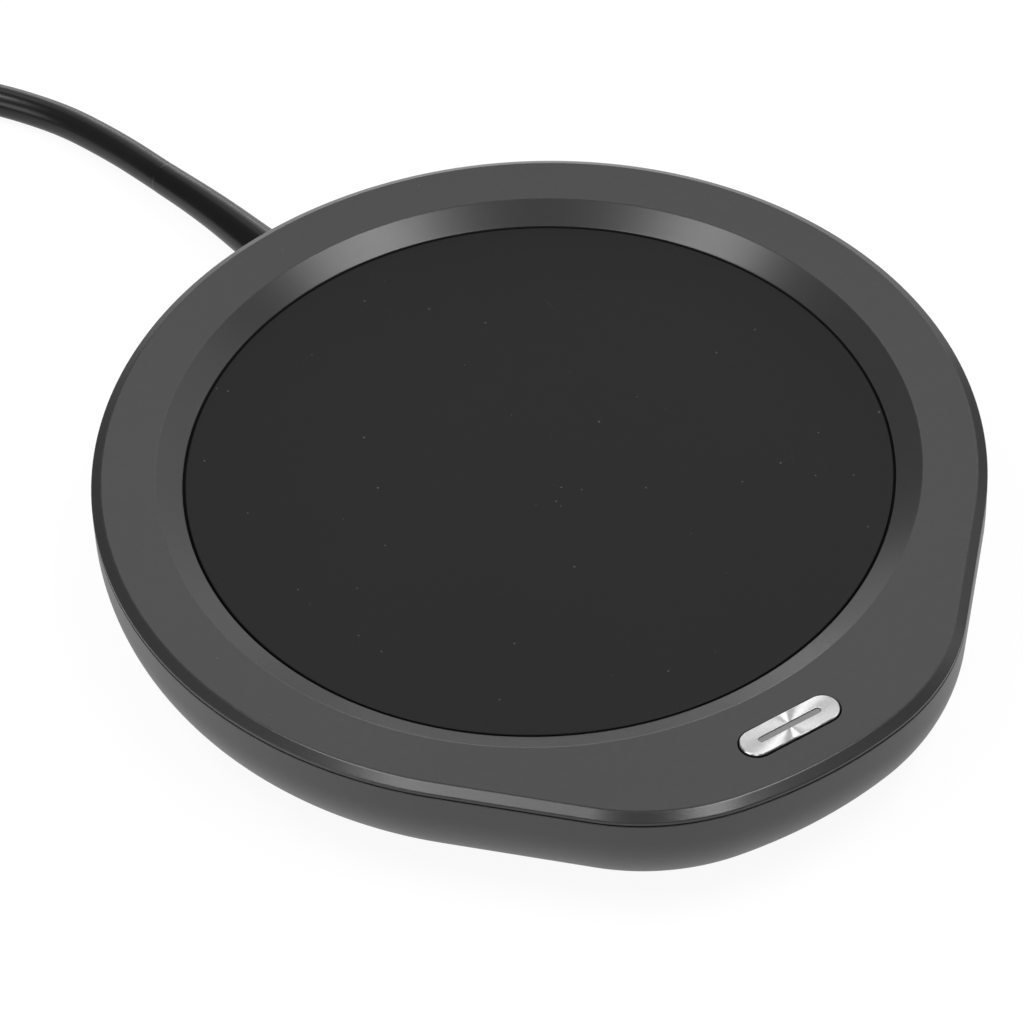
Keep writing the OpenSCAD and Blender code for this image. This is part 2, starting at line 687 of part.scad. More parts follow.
module button_carrier() color("#29292b") on_axis() at_button() difference() {
    union() {
        pill(flange_l, flange_w, upright(0, flange_z, flange_top));
        pill(cap_inner_l - 2 * plug_fit, cap_inner_w - 2 * plug_fit, upright(0, flange_top - shallow, carrier_top));
        translate([0, 0, plunger_top]) cylinder(r = 1.6, h = pip_h + shallow);
    }
    for (side = [-1, 1]) translate([side * 5.3 - 1.5, -1.2, flange_z - shallow]) cube([3, 2.4, 4]);
}

module light_bar() color("#b9b9b6") on_axis() at_button() {
    pill(cap_inner_l - 2 * plug_fit, cap_inner_w - 2 * plug_fit, upright(0, carrier_top, carrier_top + light_base_h));
    pill(slot_l - slack, slot_w - slack, upright(0, carrier_top + shallow, button_top - slack));
}

module button_cap() color("#d7d9db") on_axis() at_button() difference() {
    pill(button_l, button_w, [[0, flange_top], [0, button_top - cap_bevel], [cap_bevel, button_top]]);
    pill(cap_inner_l, cap_inner_w, upright(0, flange_top - shallow, button_top - cap_t));
    pill(slot_l, slot_w, upright(0, button_top - 2 * cap_t, button_top + shallow));
}

// ---------------------------------------------------------------------------------------------
// Feet and case screws

module rubber_feet() color("#161617") on_axis()
    at_angles(foot_angles, foot_ring)
        rotate_extrude() polygon([
            [0, 0], [foot_r - 0.4, 0], [foot_r, 0.4], [foot_r, foot_proud + foot_recess], [0, foot_proud + foot_recess]
        ]);

module case_screws() color("#8d9094") on_axis()
    at_angles(case_angles, case_r) translate([0, 0, counterbore_top]) mirror([0, 0, 1])
        screw(case_screw_r, case_screw_l, counterbore_r - 0.3, case_head_h);

// ---------------------------------------------------------------------------------------------
// Cord, its outlet, coil, tie and plug

// The boot follows the cord from inside the neck, for as many points as it has radii
boot_radii = [bushing_r - 0.4, cord_r + 0.85, cord_r + 0.4, cord_r + 0.25, cord_r + 0.12];
boot_route = [for (i = [0:len(boot_radii) - 1]) cord_route[i + boot_start]];
module cord_bushing() color("#141415") on_axis() difference() {
    union() {
        // The flange is flat below, where it stands over the rounded edge of the floor
        difference() {
            translate([0, bushing_flange_y, cord_exit_z]) rotate([-90, 0, 0])
                cylinder(r = bushing_r + bushing_lip, h = bushing_flange_t);
            translate([-2 * bushing_r, bushing_flange_y - shallow, 0])
                cube([4 * bushing_r, bushing_flange_t + 2 * shallow, floor_z + 1.2]);
        }
        translate([0, bushing_flange_y, cord_exit_z]) rotate([-90, 0, 0])
            cylinder(r = bushing_r, h = exit_y + neck_l - bushing_flange_y);
        tapered_tube(boot_route, boot_radii, boot_sides);
    }
    tube(cord_route, cord_r + slack, cord_sides);
}

module cord_clamp() color("#cfccc2") on_axis() difference() {
    translate([-clamp_l / 2, clamp_y - clamp_w / 2, cord_exit_z + cord_r]) cube([clamp_l, clamp_w, clamp_t]);
    for (side = [-1, 1]) translate([side * clamp_screw_x, clamp_y, cord_exit_z])
        cylinder(r = small_screw_r + 0.2, h = 10);
}

module clamp_screws() color("#9a9da1") on_axis()
    for (side = [-1, 1]) translate([side * clamp_screw_x, clamp_y, cord_exit_z + cord_r + clamp_t])
        screw(small_screw_r, clamp_t + 3.6, small_head_r, small_head_h);

module power_cord() color("#0f0f10") on_axis() tube(cord_route, cord_r, cord_sides);

module plug_lead() color("#0f0f10") on_axis() tube(plug_route, cord_r, cord_sides);

module at_coil() translate([coil_centre[0], coil_centre[1], tie_t]) children();

module cord_coil() color("#0f0f10") on_axis() at_coil()
    rotate_extrude() translate([coil_inner_r, 0]) square([coil_outer_r - coil_inner_r, coil_h]);

// The tie stands clear of the coil's curved sides over its own width
tie_low = sqrt(coil_inner_r * coil_inner_r - tie_w * tie_w / 4) - slack;
tie_high = coil_outer_r + slack;
module cord_tie() color("#2b2b2d") on_axis() at_coil() rotate([0, 0, tie_angle]) difference() {
    translate([tie_low - tie_t, -tie_w / 2, -tie_t]) cube([tie_high - tie_low + 2 * tie_t, tie_w, coil_h + 2 * tie_t]);
    translate([tie_low, -tie_w, 0]) cube([tie_high - tie_low, 2 * tie_w, coil_h]);
}

// The plug lies flat; its own frame has the cord's end at the origin and its pins along +X
module at_plug() translate([plug_entry[0], plug_entry[1], plug_h / 2]) rotate([0, 0, -90]) children();

module plug_body() color("#141415") on_axis() at_plug() difference() {
    union() {
        translate([plug_boot_l, 0, 0]) intersection() {
            rotate([90, 0, 90]) linear_extrude(plug_l) polygon([
                [plug_w / 2, 0], [plug_flat_w / 2, plug_h / 2], [-plug_flat_w / 2, plug_h / 2],
                [-plug_w / 2, 0], [-plug_flat_w / 2, -plug_h / 2], [plug_flat_w / 2, -plug_h / 2]
            ]);
            translate([0, 0, -plug_h]) linear_extrude(2 * plug_h) polygon([
                [0, 6.4], [12, 10.5], [22, plug_w / 2], [plug_l, plug_w / 2],
                [plug_l, -plug_w / 2], [22, -plug_w / 2], [12, -10.5], [0, -6.4]
            ]);
            translate([0, plug_w, 0]) rotate([90, 0, 0]) linear_extrude(2 * plug_w) polygon([
                [0, 4.8], [16, plug_h / 2], [plug_l, plug_h / 2], [plug_l, -plug_h / 2], [16, -plug_h / 2], [0, -4.8]
            ]);
        }
        rotate([0, 90, 0]) rotate_extrude() polygon([
            [0, 0], [cord_r + 0.5, 0], [cord_r + 1.6, plug_boot_l], [cord_r + 1.6, plug_boot_l + 2], [0, plug_boot_l + 2]
        ]);
    }
    translate([-shallow, 0, 0]) rotate([0, 90, 0]) cylinder(r = cord_r + slack, h = 8);
    for (side = [-1, 1]) translate([plug_boot_l + plug_l - pin_seat, side * pin_pitch / 2, 0]) rotate([0, 90, 0])
        cylinder(r = pin_d / 2 + slack, h = pin_seat + shallow);
}

module plug_pins() color("#b9bcc0") on_axis() at_plug()
    for (side = [-1, 1]) translate([plug_boot_l + plug_l - pin_seat, side * pin_pitch / 2, 0]) rotate([0, 90, 0])
        rotate_extrude() polygon([
            [0, 0], [pin_d / 2, 0], [pin_d / 2, pin_seat + pin_l - 1], [pin_d / 2 - 1, pin_seat + pin_l], [0, pin_seat + pin_l]
        ]);

// ---------------------------------------------------------------------------------------------

base_shell();
top_cover();
heating_plate();
plate_gasket();
heat_spreader();
film_heater();
insulation_pad();
retainer_tray();
tray_screws();
temperature_sensor();
sensor_clip();
thermal_fuse();
main_board();
board_screws();
film_capacitor();
filter_capacitor();
triac();
bridge_rectifier();
line_fuse();
control_chip();
terminal_blocks();
heater_leads();
sensor_leads();
mains_leads();
button_board();
button_board_screws();
button_harness();
status_leds();
switch_base();
switch_frame();
switch_terminals();
switch_dome();
switch_plunger();
button_carrier();
light_bar();
button_cap();
rubber_feet();
case_screws();
cord_bushing();
cord_clamp();
clamp_screws();
power_cord();
cord_coil();
cord_tie();
plug_lead();
plug_body();
plug_pins();
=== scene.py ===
"""The looks of an electric mug warmer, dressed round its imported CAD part.

A low round body with a nose that carries one press button, a coated heating plate in a dished seat, and a black power
cord that ends in a flat two-pin plug. Metres, +Z up. The nose points to -Y and the cord leaves to +Y. Sizes are named
in millimetres and turned into metres where a shape is made. Places are about the plate's axis until a piece is set
down.
"""

import math

import bmesh
import bpy
import numpy as np
from mathutils import Matrix, Vector
from mathutils.geometry import tessellate_polygon


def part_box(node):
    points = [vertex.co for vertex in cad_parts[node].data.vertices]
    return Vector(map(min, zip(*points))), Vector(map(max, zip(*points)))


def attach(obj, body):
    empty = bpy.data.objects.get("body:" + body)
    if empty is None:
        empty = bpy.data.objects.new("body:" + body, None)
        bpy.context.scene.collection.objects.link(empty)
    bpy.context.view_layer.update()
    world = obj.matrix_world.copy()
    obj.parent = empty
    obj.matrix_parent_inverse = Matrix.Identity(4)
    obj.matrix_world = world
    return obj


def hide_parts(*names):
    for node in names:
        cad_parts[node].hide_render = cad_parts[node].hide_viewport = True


MM = 0.001
WHOLE = 2 * math.pi

# ---- The frame, and the sizes that drive the pieces

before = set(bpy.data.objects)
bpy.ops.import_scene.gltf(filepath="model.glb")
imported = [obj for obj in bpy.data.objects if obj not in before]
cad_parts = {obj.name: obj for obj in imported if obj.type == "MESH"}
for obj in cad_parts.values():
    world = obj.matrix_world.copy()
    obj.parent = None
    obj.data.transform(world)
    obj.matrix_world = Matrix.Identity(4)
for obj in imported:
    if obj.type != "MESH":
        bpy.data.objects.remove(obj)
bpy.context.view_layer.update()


def size_of(node):
    """A node's lowest and highest corner in millimetres."""
    low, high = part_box(node)
    return np.array(low) / MM, np.array(high) / MM


def spread(radius, degrees):
    """Places at those angles on a circle about the plate's axis."""
    return [(radius * math.cos(math.radians(a)), radius * math.sin(math.radians(a))) for a in degrees]


def placed(name, data):
    """A new object in the scene."""
    made = bpy.data.objects.new(name, data)
    bpy.context.scene.collection.objects.link(made)
    return made


plate_low, plate_high = size_of("heating_plate")
cover_low, cover_high = size_of("top_cover")
base_low, _ = size_of("base_shell")
cap_low, cap_high = size_of("button_cap")

AXIS = np.array([(plate_low[0] + plate_high[0]) / 2, (plate_low[1] + plate_high[1]) / 2, 0.0])
PLATE_R = (plate_high[0] - plate_low[0]) / 2
PLATE_TOP = plate_high[2]
RING_TOP = cover_high[2]
RIM_R = (cover_high[0] - cover_low[0]) / 2

# The body's outline: a round back, two straight flanks, two corners and the nose's front arc
NOSE_HALF_ANGLE = math.radians(10.03)
CORNER_R = 34.4
FLANK_LENGTH = 21.6
CORNER_X = RIM_R - CORNER_R
NOSE_R = CORNER_R + math.hypot(CORNER_X, FLANK_LENGTH)
FLANK_ANGLE = NOSE_HALF_ANGLE + math.atan2(FLANK_LENGTH, CORNER_X)

# Base
BASE_Z = base_low[2]
WALL = 2.2
FLOOR_Z = BASE_Z + WALL
BOTTOM_ROUND = 15.2
DRAFT = math.radians(1)
COVER_EDGE_Z = 19.65
WALL_TOP = 19.3
FOOT_R = 6.15
FOOT_RECESS = 1.0
FEET = spread(RIM_R - 22.2, (43, 137, -50, -130))
FOOT_GAP = 0.2
CASE_SCREWS = spread(46.5, (62, 118, -68, -112))
COLUMN_R, COLUMN_LOW, COLUMN_TOP = 4.2, 1.9, 6
HEAD_R, HEAD_CHAMFER, HEAD_SEAT_Z, SCREW_R = 3, 0.25, 3.4, 1.5

# Cover
BEVEL_W = 1.45
BEVEL_H = 0.9
ROOF_Z = RING_TOP - 2
SKIRT_Z = 17.05
SKIRT_INSET = WALL + 0.2
SKIRT_T = 1.2
DISH_R = 54.1
BORE_R = PLATE_R + 0.35
COLLAR_R = BORE_R + 2.05
LEDGE_R = BORE_R - 5.1
LEDGE_TOP = 15.4
LEDGE_Z = 13.6

# Button
BUTTON_Y = -61.3
BUTTON_HALF = 5.4
BUTTON_R = 2.4
BUTTON_GAP = 0.25
BUTTON_TOP = cap_high[2]
SLOT_HALF = 4.6
SLOT_R = 0.5

# Cord
CORD_R = 2.45
EXIT_Y = 60.53
EXIT_Z = 7.4
BUSHING_R = 4.0
BUSHING_GAP = 0.05

# ---- Camera

EYE_DISTANCE = 922.5
EYE_ELEVATION = math.radians(45.9615)
EYE_AZIMUTH = math.radians(-31.85)
EYE_ROLL = math.radians(-2.357)
EYE_AIM = (-4.025, -7.675)
EYE_LENS = 231.1
SENSOR = 36


def make_camera():
    """Looks down at the plate from the front left, turned a little about its own axis."""
    turn = Matrix.Rotation(EYE_AZIMUTH, 3, "Z")
    forward = turn @ Vector((0, math.cos(EYE_ELEVATION), -math.sin(EYE_ELEVATION)))
    level = turn @ Vector((1, 0, 0))
    upward = level.cross(forward)
    right = level * math.cos(EYE_ROLL) + upward * math.sin(EYE_ROLL)
    up = upward * math.cos(EYE_ROLL) - level * math.sin(EYE_ROLL)
    aim = Vector(AXIS) + turn @ Vector((*EYE_AIM, 0)) + Vector((0, 0, PLATE_TOP))
    data = bpy.data.cameras.new("camera")
    data.sensor_width, data.lens = SENSOR, EYE_LENS
    data.clip_start, data.clip_end = 0.01, 100
    camera = placed("camera", data)
    axes = Matrix((right, up, -forward)).transposed().to_4x4()
    camera.matrix_world = Matrix.Translation((aim - forward * EYE_DISTANCE) * MM) @ axes
    bpy.context.scene.camera = camera


make_camera()

# ---- Shapes: lines of points, outlines, and what is carried round them

ARC_STEP = math.radians(13)
HOLD = 0.1
STRAIGHT = 1e-6
WELD = 2e-7


def unit(v):
    """The direction of a vector."""
    return v / np.linalg.norm(v)


def rounded(corners):
    """A line through (across, up, radius) corners. Each corner turns on an arc that begins radius * tan(turn / 2)
    before it, with a point held close on either side so that what is flat stays flat. The third number of a point
    says how much of an edge it is: 1 on an arc, 0 elsewhere."""
    corners = np.array(corners, float)
    line = [[*corners[0, :2], 0]]
    for a, b, c in zip(corners[:-2], corners[1:-1], corners[2:]):
        corner, radius = b[:2], b[2]
        came, goes = unit(corner - a[:2]), unit(c[:2] - corner)
        turn = math.atan2(came[0] * goes[1] - came[1] * goes[0], came @ goes)
        if radius == 0 or abs(turn) < STRAIGHT:
            line.append([*corner, 0])
            continue
        reach, hold = radius * math.tan(abs(turn) / 2), min(radius, HOLD)
        side = np.array([-came[1], came[0]]) * math.copysign(1, turn)
        t = np.linspace(0, turn, max(2, math.ceil(abs(turn) / ARC_STEP)) + 1)[:, None]
        spoke, across = -side * radius, np.array([side[1], -side[0]]) * radius
        arc = corner - reach * came + side * radius + np.cos(t) * spoke + np.sin(t) * across
        line.append([*(corner - (reach + hold) * came), 0])
        line += [[*p, 1] for p in arc]
        line.append([*(corner + (reach + hold) * goes), 0])
    line.append([*corners[-1, :2], 0])
    return np.array(line)


def outline(arcs, step=2.0):
    """A closed convex outline from (seat, reach, first angle, last angle) arcs, joined by straight lines:
    point = seat + reach * normal, and normal = (sin angle, -cos angle)."""
    seats, reaches, normals = [], [], []
    for seat, reach, first, last in arcs:
        count = max(2, math.ceil((last - first) / math.radians(step)) + 1)
        angle = np.linspace(first, last, count)
        seats.append(np.tile(seat, (count, 1)))
        reaches.append(np.full(count, reach))
        normals.append(np.stack([np.sin(angle), -np.cos(angle)], 1))
    return np.concatenate(seats), np.concatenate(reaches), np.concatenate(normals)


def body_outline():
    """The round back, the two corners and the nose's arc; the flanks are the straight lines between."""
    seat = NOSE_R - CORNER_R
    left = (-seat * math.sin(NOSE_HALF_ANGLE), -seat * math.cos(NOSE_HALF_ANGLE))
    right = (-left[0], left[1])
    return outline([
        ((0, 0), NOSE_R, -NOSE_HALF_ANGLE, NOSE_HALF_ANGLE),
        (right, CORNER_R, NOSE_HALF_ANGLE, FLANK_ANGLE),
        ((0, 0), RIM_R, FLANK_ANGLE, WHOLE - FLANK_ANGLE),
        (left, CORNER_R, WHOLE - FLANK_ANGLE, WHOLE - NOSE_HALF_ANGLE),
    ], step=1.5)


def circle(reach, centre=(0, 0), step=3.0):
    """A circle, with a point every step degrees."""
    return outline([(centre, reach, 0, WHOLE - math.radians(step))], step)


def bar(half, reach, centre=(0, 0)):
    """A bar with round ends: half is the distance from its middle to the seat of an end."""
    x, y = centre
    return outline([((x + half, y), reach, 0, math.pi), ((x - half, y), reach, math.pi, WHOLE)], 6.0)


def around(count):
    """Angles that share a whole turn evenly."""
    return np.arange(count) * 2 * math.pi / count


def grid(rows, columns):
    """Quads between neighbouring rows of points, each row closed on itself."""
    i, j = np.arange(rows - 1)[:, None], np.arange(columns)[None, :]
    k = (j + 1) % columns
    corners = [i * columns + j, i * columns + k, (i + 1) * columns + k, (i + 1) * columns + j]
    return np.stack(corners, axis=-1).reshape(-1, 4)


def tube(rows, columns):
    """A grid of quads with both of its ends closed."""
    first, last = list(range(columns)), list(range((rows - 1) * columns, rows * columns))
    return grid(rows, columns).tolist() + [first, last]


def carried(path, line):
    """A line of (inset, up) points carried round an outline: point = seat + (reach - inset) * normal."""
    seat, reach, normal = path
    line = np.asarray(line, float)
    flat = seat[None] + (reach[None, :, None] - line[:, 0, None, None]) * normal[None]
    up = np.broadcast_to(line[:, 1, None, None], (*flat.shape[:2], 1))
    edge = line[:, 2] if line.shape[1] > 2 else np.zeros(len(line))
    points = np.concatenate([flat, up], axis=2).reshape(-1, 3)
    return points, grid(len(line), len(reach)).tolist(), np.repeat(edge, len(reach))


def turned(line, centre=(0, 0), step=3.0):
    """A line of (radius, up) points turned about an upright axis."""
    line = np.asarray(line, float).copy()
    line[:, 0] *= -1
    return carried(circle(0, centre, step), line)


def ring_of(path, inset):
    """The outline moved inwards by inset, as plan points."""
    seat, reach, normal = path
    return seat + (reach - inset)[:, None] * normal


def level(rings, z):
    """The level face at height z inside the first ring and outside the others."""
    triangles = tessellate_polygon([[Vector((*p, 0)) for p in ring] for ring in rings])
    flat = np.concatenate(rings)
    return np.column_stack([flat, np.full(len(flat), z)]), [list(t) for t in triangles], np.zeros(len(flat))


def post(centre, radius, low, high, edge=0.15):
    """A closed upright post with a small round on its lower edge."""
    return turned(rounded([(0, low, 0), (radius, low, edge), (radius, high, 0), (0, high, 0)]), centre, 12.0)


def moved(patch, place):
    """A patch with every point sent through place, a function of an (n, 3) array."""
    points, faces, edge = patch
    return place(points), faces, edge


# ---- Pieces

CREASE = math.radians(32)
pieces = {}


def raw_mesh(name, points, faces):
    """A mesh of points in millimetres about the plate's axis."""
    mesh = bpy.data.meshes.new(name)
    mesh.from_pydata(((points + AXIS) * MM).tolist(), [], faces)
    return mesh


def weld(mesh):
    """Merges the points that lie together, and turns the faces outwards."""
    shape = bmesh.new()
    shape.from_mesh(mesh)
    bmesh.ops.remove_doubles(shape, verts=shape.verts[:], dist=WELD)
    bmesh.ops.recalc_face_normals(shape, faces=shape.faces[:])
    shape.to_mesh(mesh)
    shape.free()


def mesh_of(name, patches):
    """One mesh of patches in millimetres about the plate's axis, their shared borders merged, faces outwards. The
    attribute edge tells the finish where the rounded edges are."""
    starts = np.cumsum([0] + [len(p) for p, _, _ in patches])
    faces = [[v + start for v in f] for start, (_, fs, _) in zip(starts, patches) for f in fs]
    mesh = raw_mesh(name, np.concatenate([p for p, _, _ in patches]), faces)
    edge = mesh.attributes.new("edge", "FLOAT", "POINT")
    edge.data.foreach_set("value", np.concatenate([e for _, _, e in patches]).astype(np.float32))
    weld(mesh)
    return mesh


def shade(mesh):
    """Smooth faces, with creases where they meet at more than CREASE."""
    mesh.polygons.foreach_set("use_smooth", np.ones(len(mesh.polygons), bool))
    mesh.set_sharp_from_angle(angle=CREASE)


def stand(name, mesh, nodes, body="housing"):
    """Puts a finished mesh in the scene in place of its CAD nodes."""
    shade(mesh)
    piece = placed(name, mesh)
    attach(piece, body)
    if nodes:
        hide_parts(*nodes)
    pieces[name] = piece
    return piece


def cut(mesh, patches, operation):
    """The mesh joined with (UNION) or relieved of (DIFFERENCE) the closed solids that the patches make."""
    objects = [placed("work", m) for m in (mesh, mesh_of("tool", patches))]
    step = objects[0].modifiers.new("cut", "BOOLEAN")
    step.operation, step.solver, step.object = operation, "EXACT", objects[1]
    made = bpy.data.meshes.new_from_object(objects[0].evaluated_get(bpy.context.evaluated_depsgraph_get()))
    for o in objects:
        bpy.data.objects.remove(o)
    return made


# ---- Cord: from its clamp, out through the bushing, along the surface to a flat coil, and on to the plug

CORD_ROUTE = [
    (0, 41, 7.4), (0, 50, 7.4), (0, 60.5, 7.4), (-1.1, 70.5, 6.8), (-2.3, 81.5, 6.1), (-3.4, 89.3, 5.5),
    (-4.6, 96.6, 4.8), (-5.8, 103.9, 4.1), (-7.3, 110.9, 3.4), (-9.2, 117.4, 2.8), (-11.7, 122.8, 2.5),
    (-14.6, 127.4, 2.5), (-18.6, 132.3, 2.5), (-24.4, 136.8, 2.5), (-31.2, 139.6, 2.5), (-38.4, 140.5, 2.6),
    (-48, 140.5, 2.8), (-58, 140.4, 3), (-66, 140.4, 3.05),
]
LEAD_X = -110.4
PLUG_ROUTE = [(LEAD_X, 99, 7.9), (LEAD_X, 92, 7.2), (LEAD_X, 86, 6.85), (LEAD_X, 79.5, 6.85)]
COIL_CENTRE = (-76, 106)
COIL_TURNS = 3
COIL_MEAN_R = 27
COIL_PER_TURN = 24
CLIMB = 0.25
TIE_T = 0.6
CORD_SIDES = 28
CORD_STEP = 1.6


def coil_points():
    """Two layers of turns: the lower winds in by a cord's width a turn, a quarter turn climbs, the upper winds out."""
    whole = 2 * COIL_TURNS + CLIMB
    turns = np.linspace(0, whole, int(whole * COIL_PER_TURN) + 1)
    inwards = np.clip(turns, 0, COIL_TURNS) - np.clip(turns - COIL_TURNS - CLIMB, 0, COIL_TURNS)
    climb = np.clip((turns - COIL_TURNS) / CLIMB, 0, 1)
    radius = COIL_MEAN_R + COIL_TURNS * CORD_R - 2 * CORD_R * inwards
    angle = math.pi / 2 + WHOLE * turns
    z = TIE_T + CORD_R + 2 * CORD_R * climb * climb * (3 - 2 * climb)
    return np.column_stack([COIL_CENTRE[0] + radius * np.cos(angle), COIL_CENTRE[1] + radius * np.sin(angle), z])


def smooth_line(points, step):
    """A cubic spline through the points over the length of the lines between them: its second derivative runs on
    through every point and is nought at both ends."""
    points = np.array(points, float)
    h = np.linalg.norm(np.diff(points, axis=0), axis=1)
    s = np.concatenate([[0], np.cumsum(h)])
    n, i = len(points), np.arange(1, len(points) - 1)
    system = np.zeros((n, n))
    system[0, 0] = system[-1, -1] = 1
    system[i, i - 1], system[i, i], system[i, i + 1] = h[:-1], 2 * (h[:-1] + h[1:]), h[1:]
    slope = np.diff(points, axis=0) / h[:, None]
    wanted = np.zeros_like(points)
    wanted[1:-1] = 6 * np.diff(slope, axis=0)
    bend = np.linalg.solve(system, wanted)
    at = np.linspace(0, s[-1], int(s[-1] / step) + 1)
    k = np.clip(np.searchsorted(s, at, side="right") - 1, 0, n - 2)
    t, span = (at - s[k])[:, None], h[k][:, None]
    rise = slope[k] - span * (2 * bend[k] + bend[k + 1]) / 6
    return points[k] + t * rise + t**2 * bend[k] / 2 + t**3 * (bend[k + 1] - bend[k]) / (6 * span)


def carried_round(path, radii, sides):
    """A round section carried along a path that is never upright: point = path + radius * (cos a * side + sin a *
    over), where side is level and square to the path, and over is square to both."""
    along = np.gradient(path, axis=0)
    along /= np.linalg.norm(along, axis=1)[:, None]
    side = np.cross(along, [0, 0, 1])
    side /= np.linalg.norm(side, axis=1)[:, None]
    over = np.cross(side, along)
    a = around(sides)
    spokes = np.cos(a)[None, :, None] * side[:, None] + np.sin(a)[None, :, None] * over[:, None]
    points = path[:, None] + np.asarray(radii, float).reshape(-1, 1, 1) * spokes
    return points.reshape(-1, 3), tube(len(path), sides), np.zeros(len(path) * sides)


def length_along(path):
    """How far along the path each of its points lies."""
    return np.concatenate([[0], np.cumsum(np.linalg.norm(np.diff(path, axis=0), axis=1))])


def share_round(mesh, rows, columns):
    """For each face corner, the point that it uses and how far round its row that lies, 0 to 1. The quads that close
    a row end at 1 and not at 0."""
    point = np.zeros(len(mesh.loops), np.int64)
    mesh.loops.foreach_get("vertex_index", point)
    share = (point % columns) / columns
    corner = np.arange(len(point))
    closes = (corner < 4 * (rows - 1) * columns) & (corner // 4 % columns == columns - 1)
    share[closes & (share == 0)] = 1
    return point, share


def add_uv(mesh, name, across, up):
    """A UV map from two numbers for each face corner."""
    layer = mesh.uv_layers.new(name=name)
    layer.data.foreach_set("uv", np.column_stack([across, up]).astype(np.float32).ravel())


def make_cord():
    """The whole cord as one tube. Its UV map runs round it and, in metres, along it."""
    path = smooth_line([*CORD_ROUTE, *coil_points(), *PLUG_ROUTE], CORD_STEP)
    points, faces, _ = carried_round(path, np.full(len(path), CORD_R), CORD_SIDES)
    mesh = raw_mesh("power_cord_vinyl", points, faces)
    point, share = share_round(mesh, len(path), CORD_SIDES)
    add_uv(mesh, "lengthwise", share, (length_along(path) * MM)[point // CORD_SIDES])
    cord = stand("power_cord_vinyl", mesh, ["power_cord", "cord_coil", "plug_lead"])
    return cord, (path + AXIS) * MM


cord, cord_path = make_cord()

BOOT_LENGTH = 36.0
BOOT_SKIN = 0.03
BOOT_START = 1.75
BOOT_SHOULDER = 0.35
BOOT_END = 0.4
NECK = [(-8, 0), (-1, 0), (0.6, 0), (1.0, 0.03), (1.3, 0.1), (1.5, 0.2), (1.6, 0.3)]


def make_bushing():
    """The neck, a line of (along, inset) points, fills the hole in the wall, and the boot thins towards the cord: what
    it has over the cord's radius falls as the 1.5th power of the length left, to a skin that ends on the cord."""
    neck, neck_inset = np.array(NECK).T
    s = length_along(cord_path) / MM
    start = s[np.argmin(np.abs(cord_path[:, 1] / MM - AXIS[1] - EXIT_Y))]
    stations = np.concatenate([neck, np.linspace(BOOT_START, BOOT_LENGTH - BOOT_END, 40)])
    left = 1 - np.interp(stations, [BOOT_START, BOOT_LENGTH], [0, 1])
    radii = CORD_R + BOOT_SKIN + (BUSHING_R - BOOT_SHOULDER - CORD_R - BOOT_SKIN) * left**1.5
    radii[:len(NECK)] = BUSHING_R - neck_inset
    stations = np.concatenate([stations, BOOT_LENGTH + np.array([-0.15, 0, 0.3])])
    radii = np.concatenate([radii, [CORD_R + BOOT_SKIN, CORD_R + BOOT_SKIN / 2, CORD_R - 0.1]])
    path = np.column_stack([np.interp(start + stations, s, cord_path[:, k] / MM) for k in range(3)]) - AXIS
    patch = carried_round(path, radii, 40)
    stand("cord_boot", mesh_of("cord_boot", [patch]), ["cord_bushing"])


make_bushing()

# ---- Base shell

ROUND_Z = BASE_Z + BOTTOM_ROUND
ROUND_INSET = (WALL_TOP - ROUND_Z) * math.tan(DRAFT) + BOTTOM_ROUND / math.cos(DRAFT)
BODY = body_outline()


def soft_edge(inset, top):
    """The base's large bottom round and its drafted wall up to top, moved inwards by inset."""
    angle = np.linspace(-math.pi / 2, -DRAFT, 29)
    across = ROUND_INSET - (BOTTOM_ROUND - inset) * np.cos(angle)
    up = ROUND_Z + (BOTTOM_ROUND - inset) * np.sin(angle)
    end = [inset / math.cos(DRAFT) + (WALL_TOP - top) * math.tan(DRAFT), top]
    return np.column_stack([np.append(across, end[0]), np.append(up, end[1])])


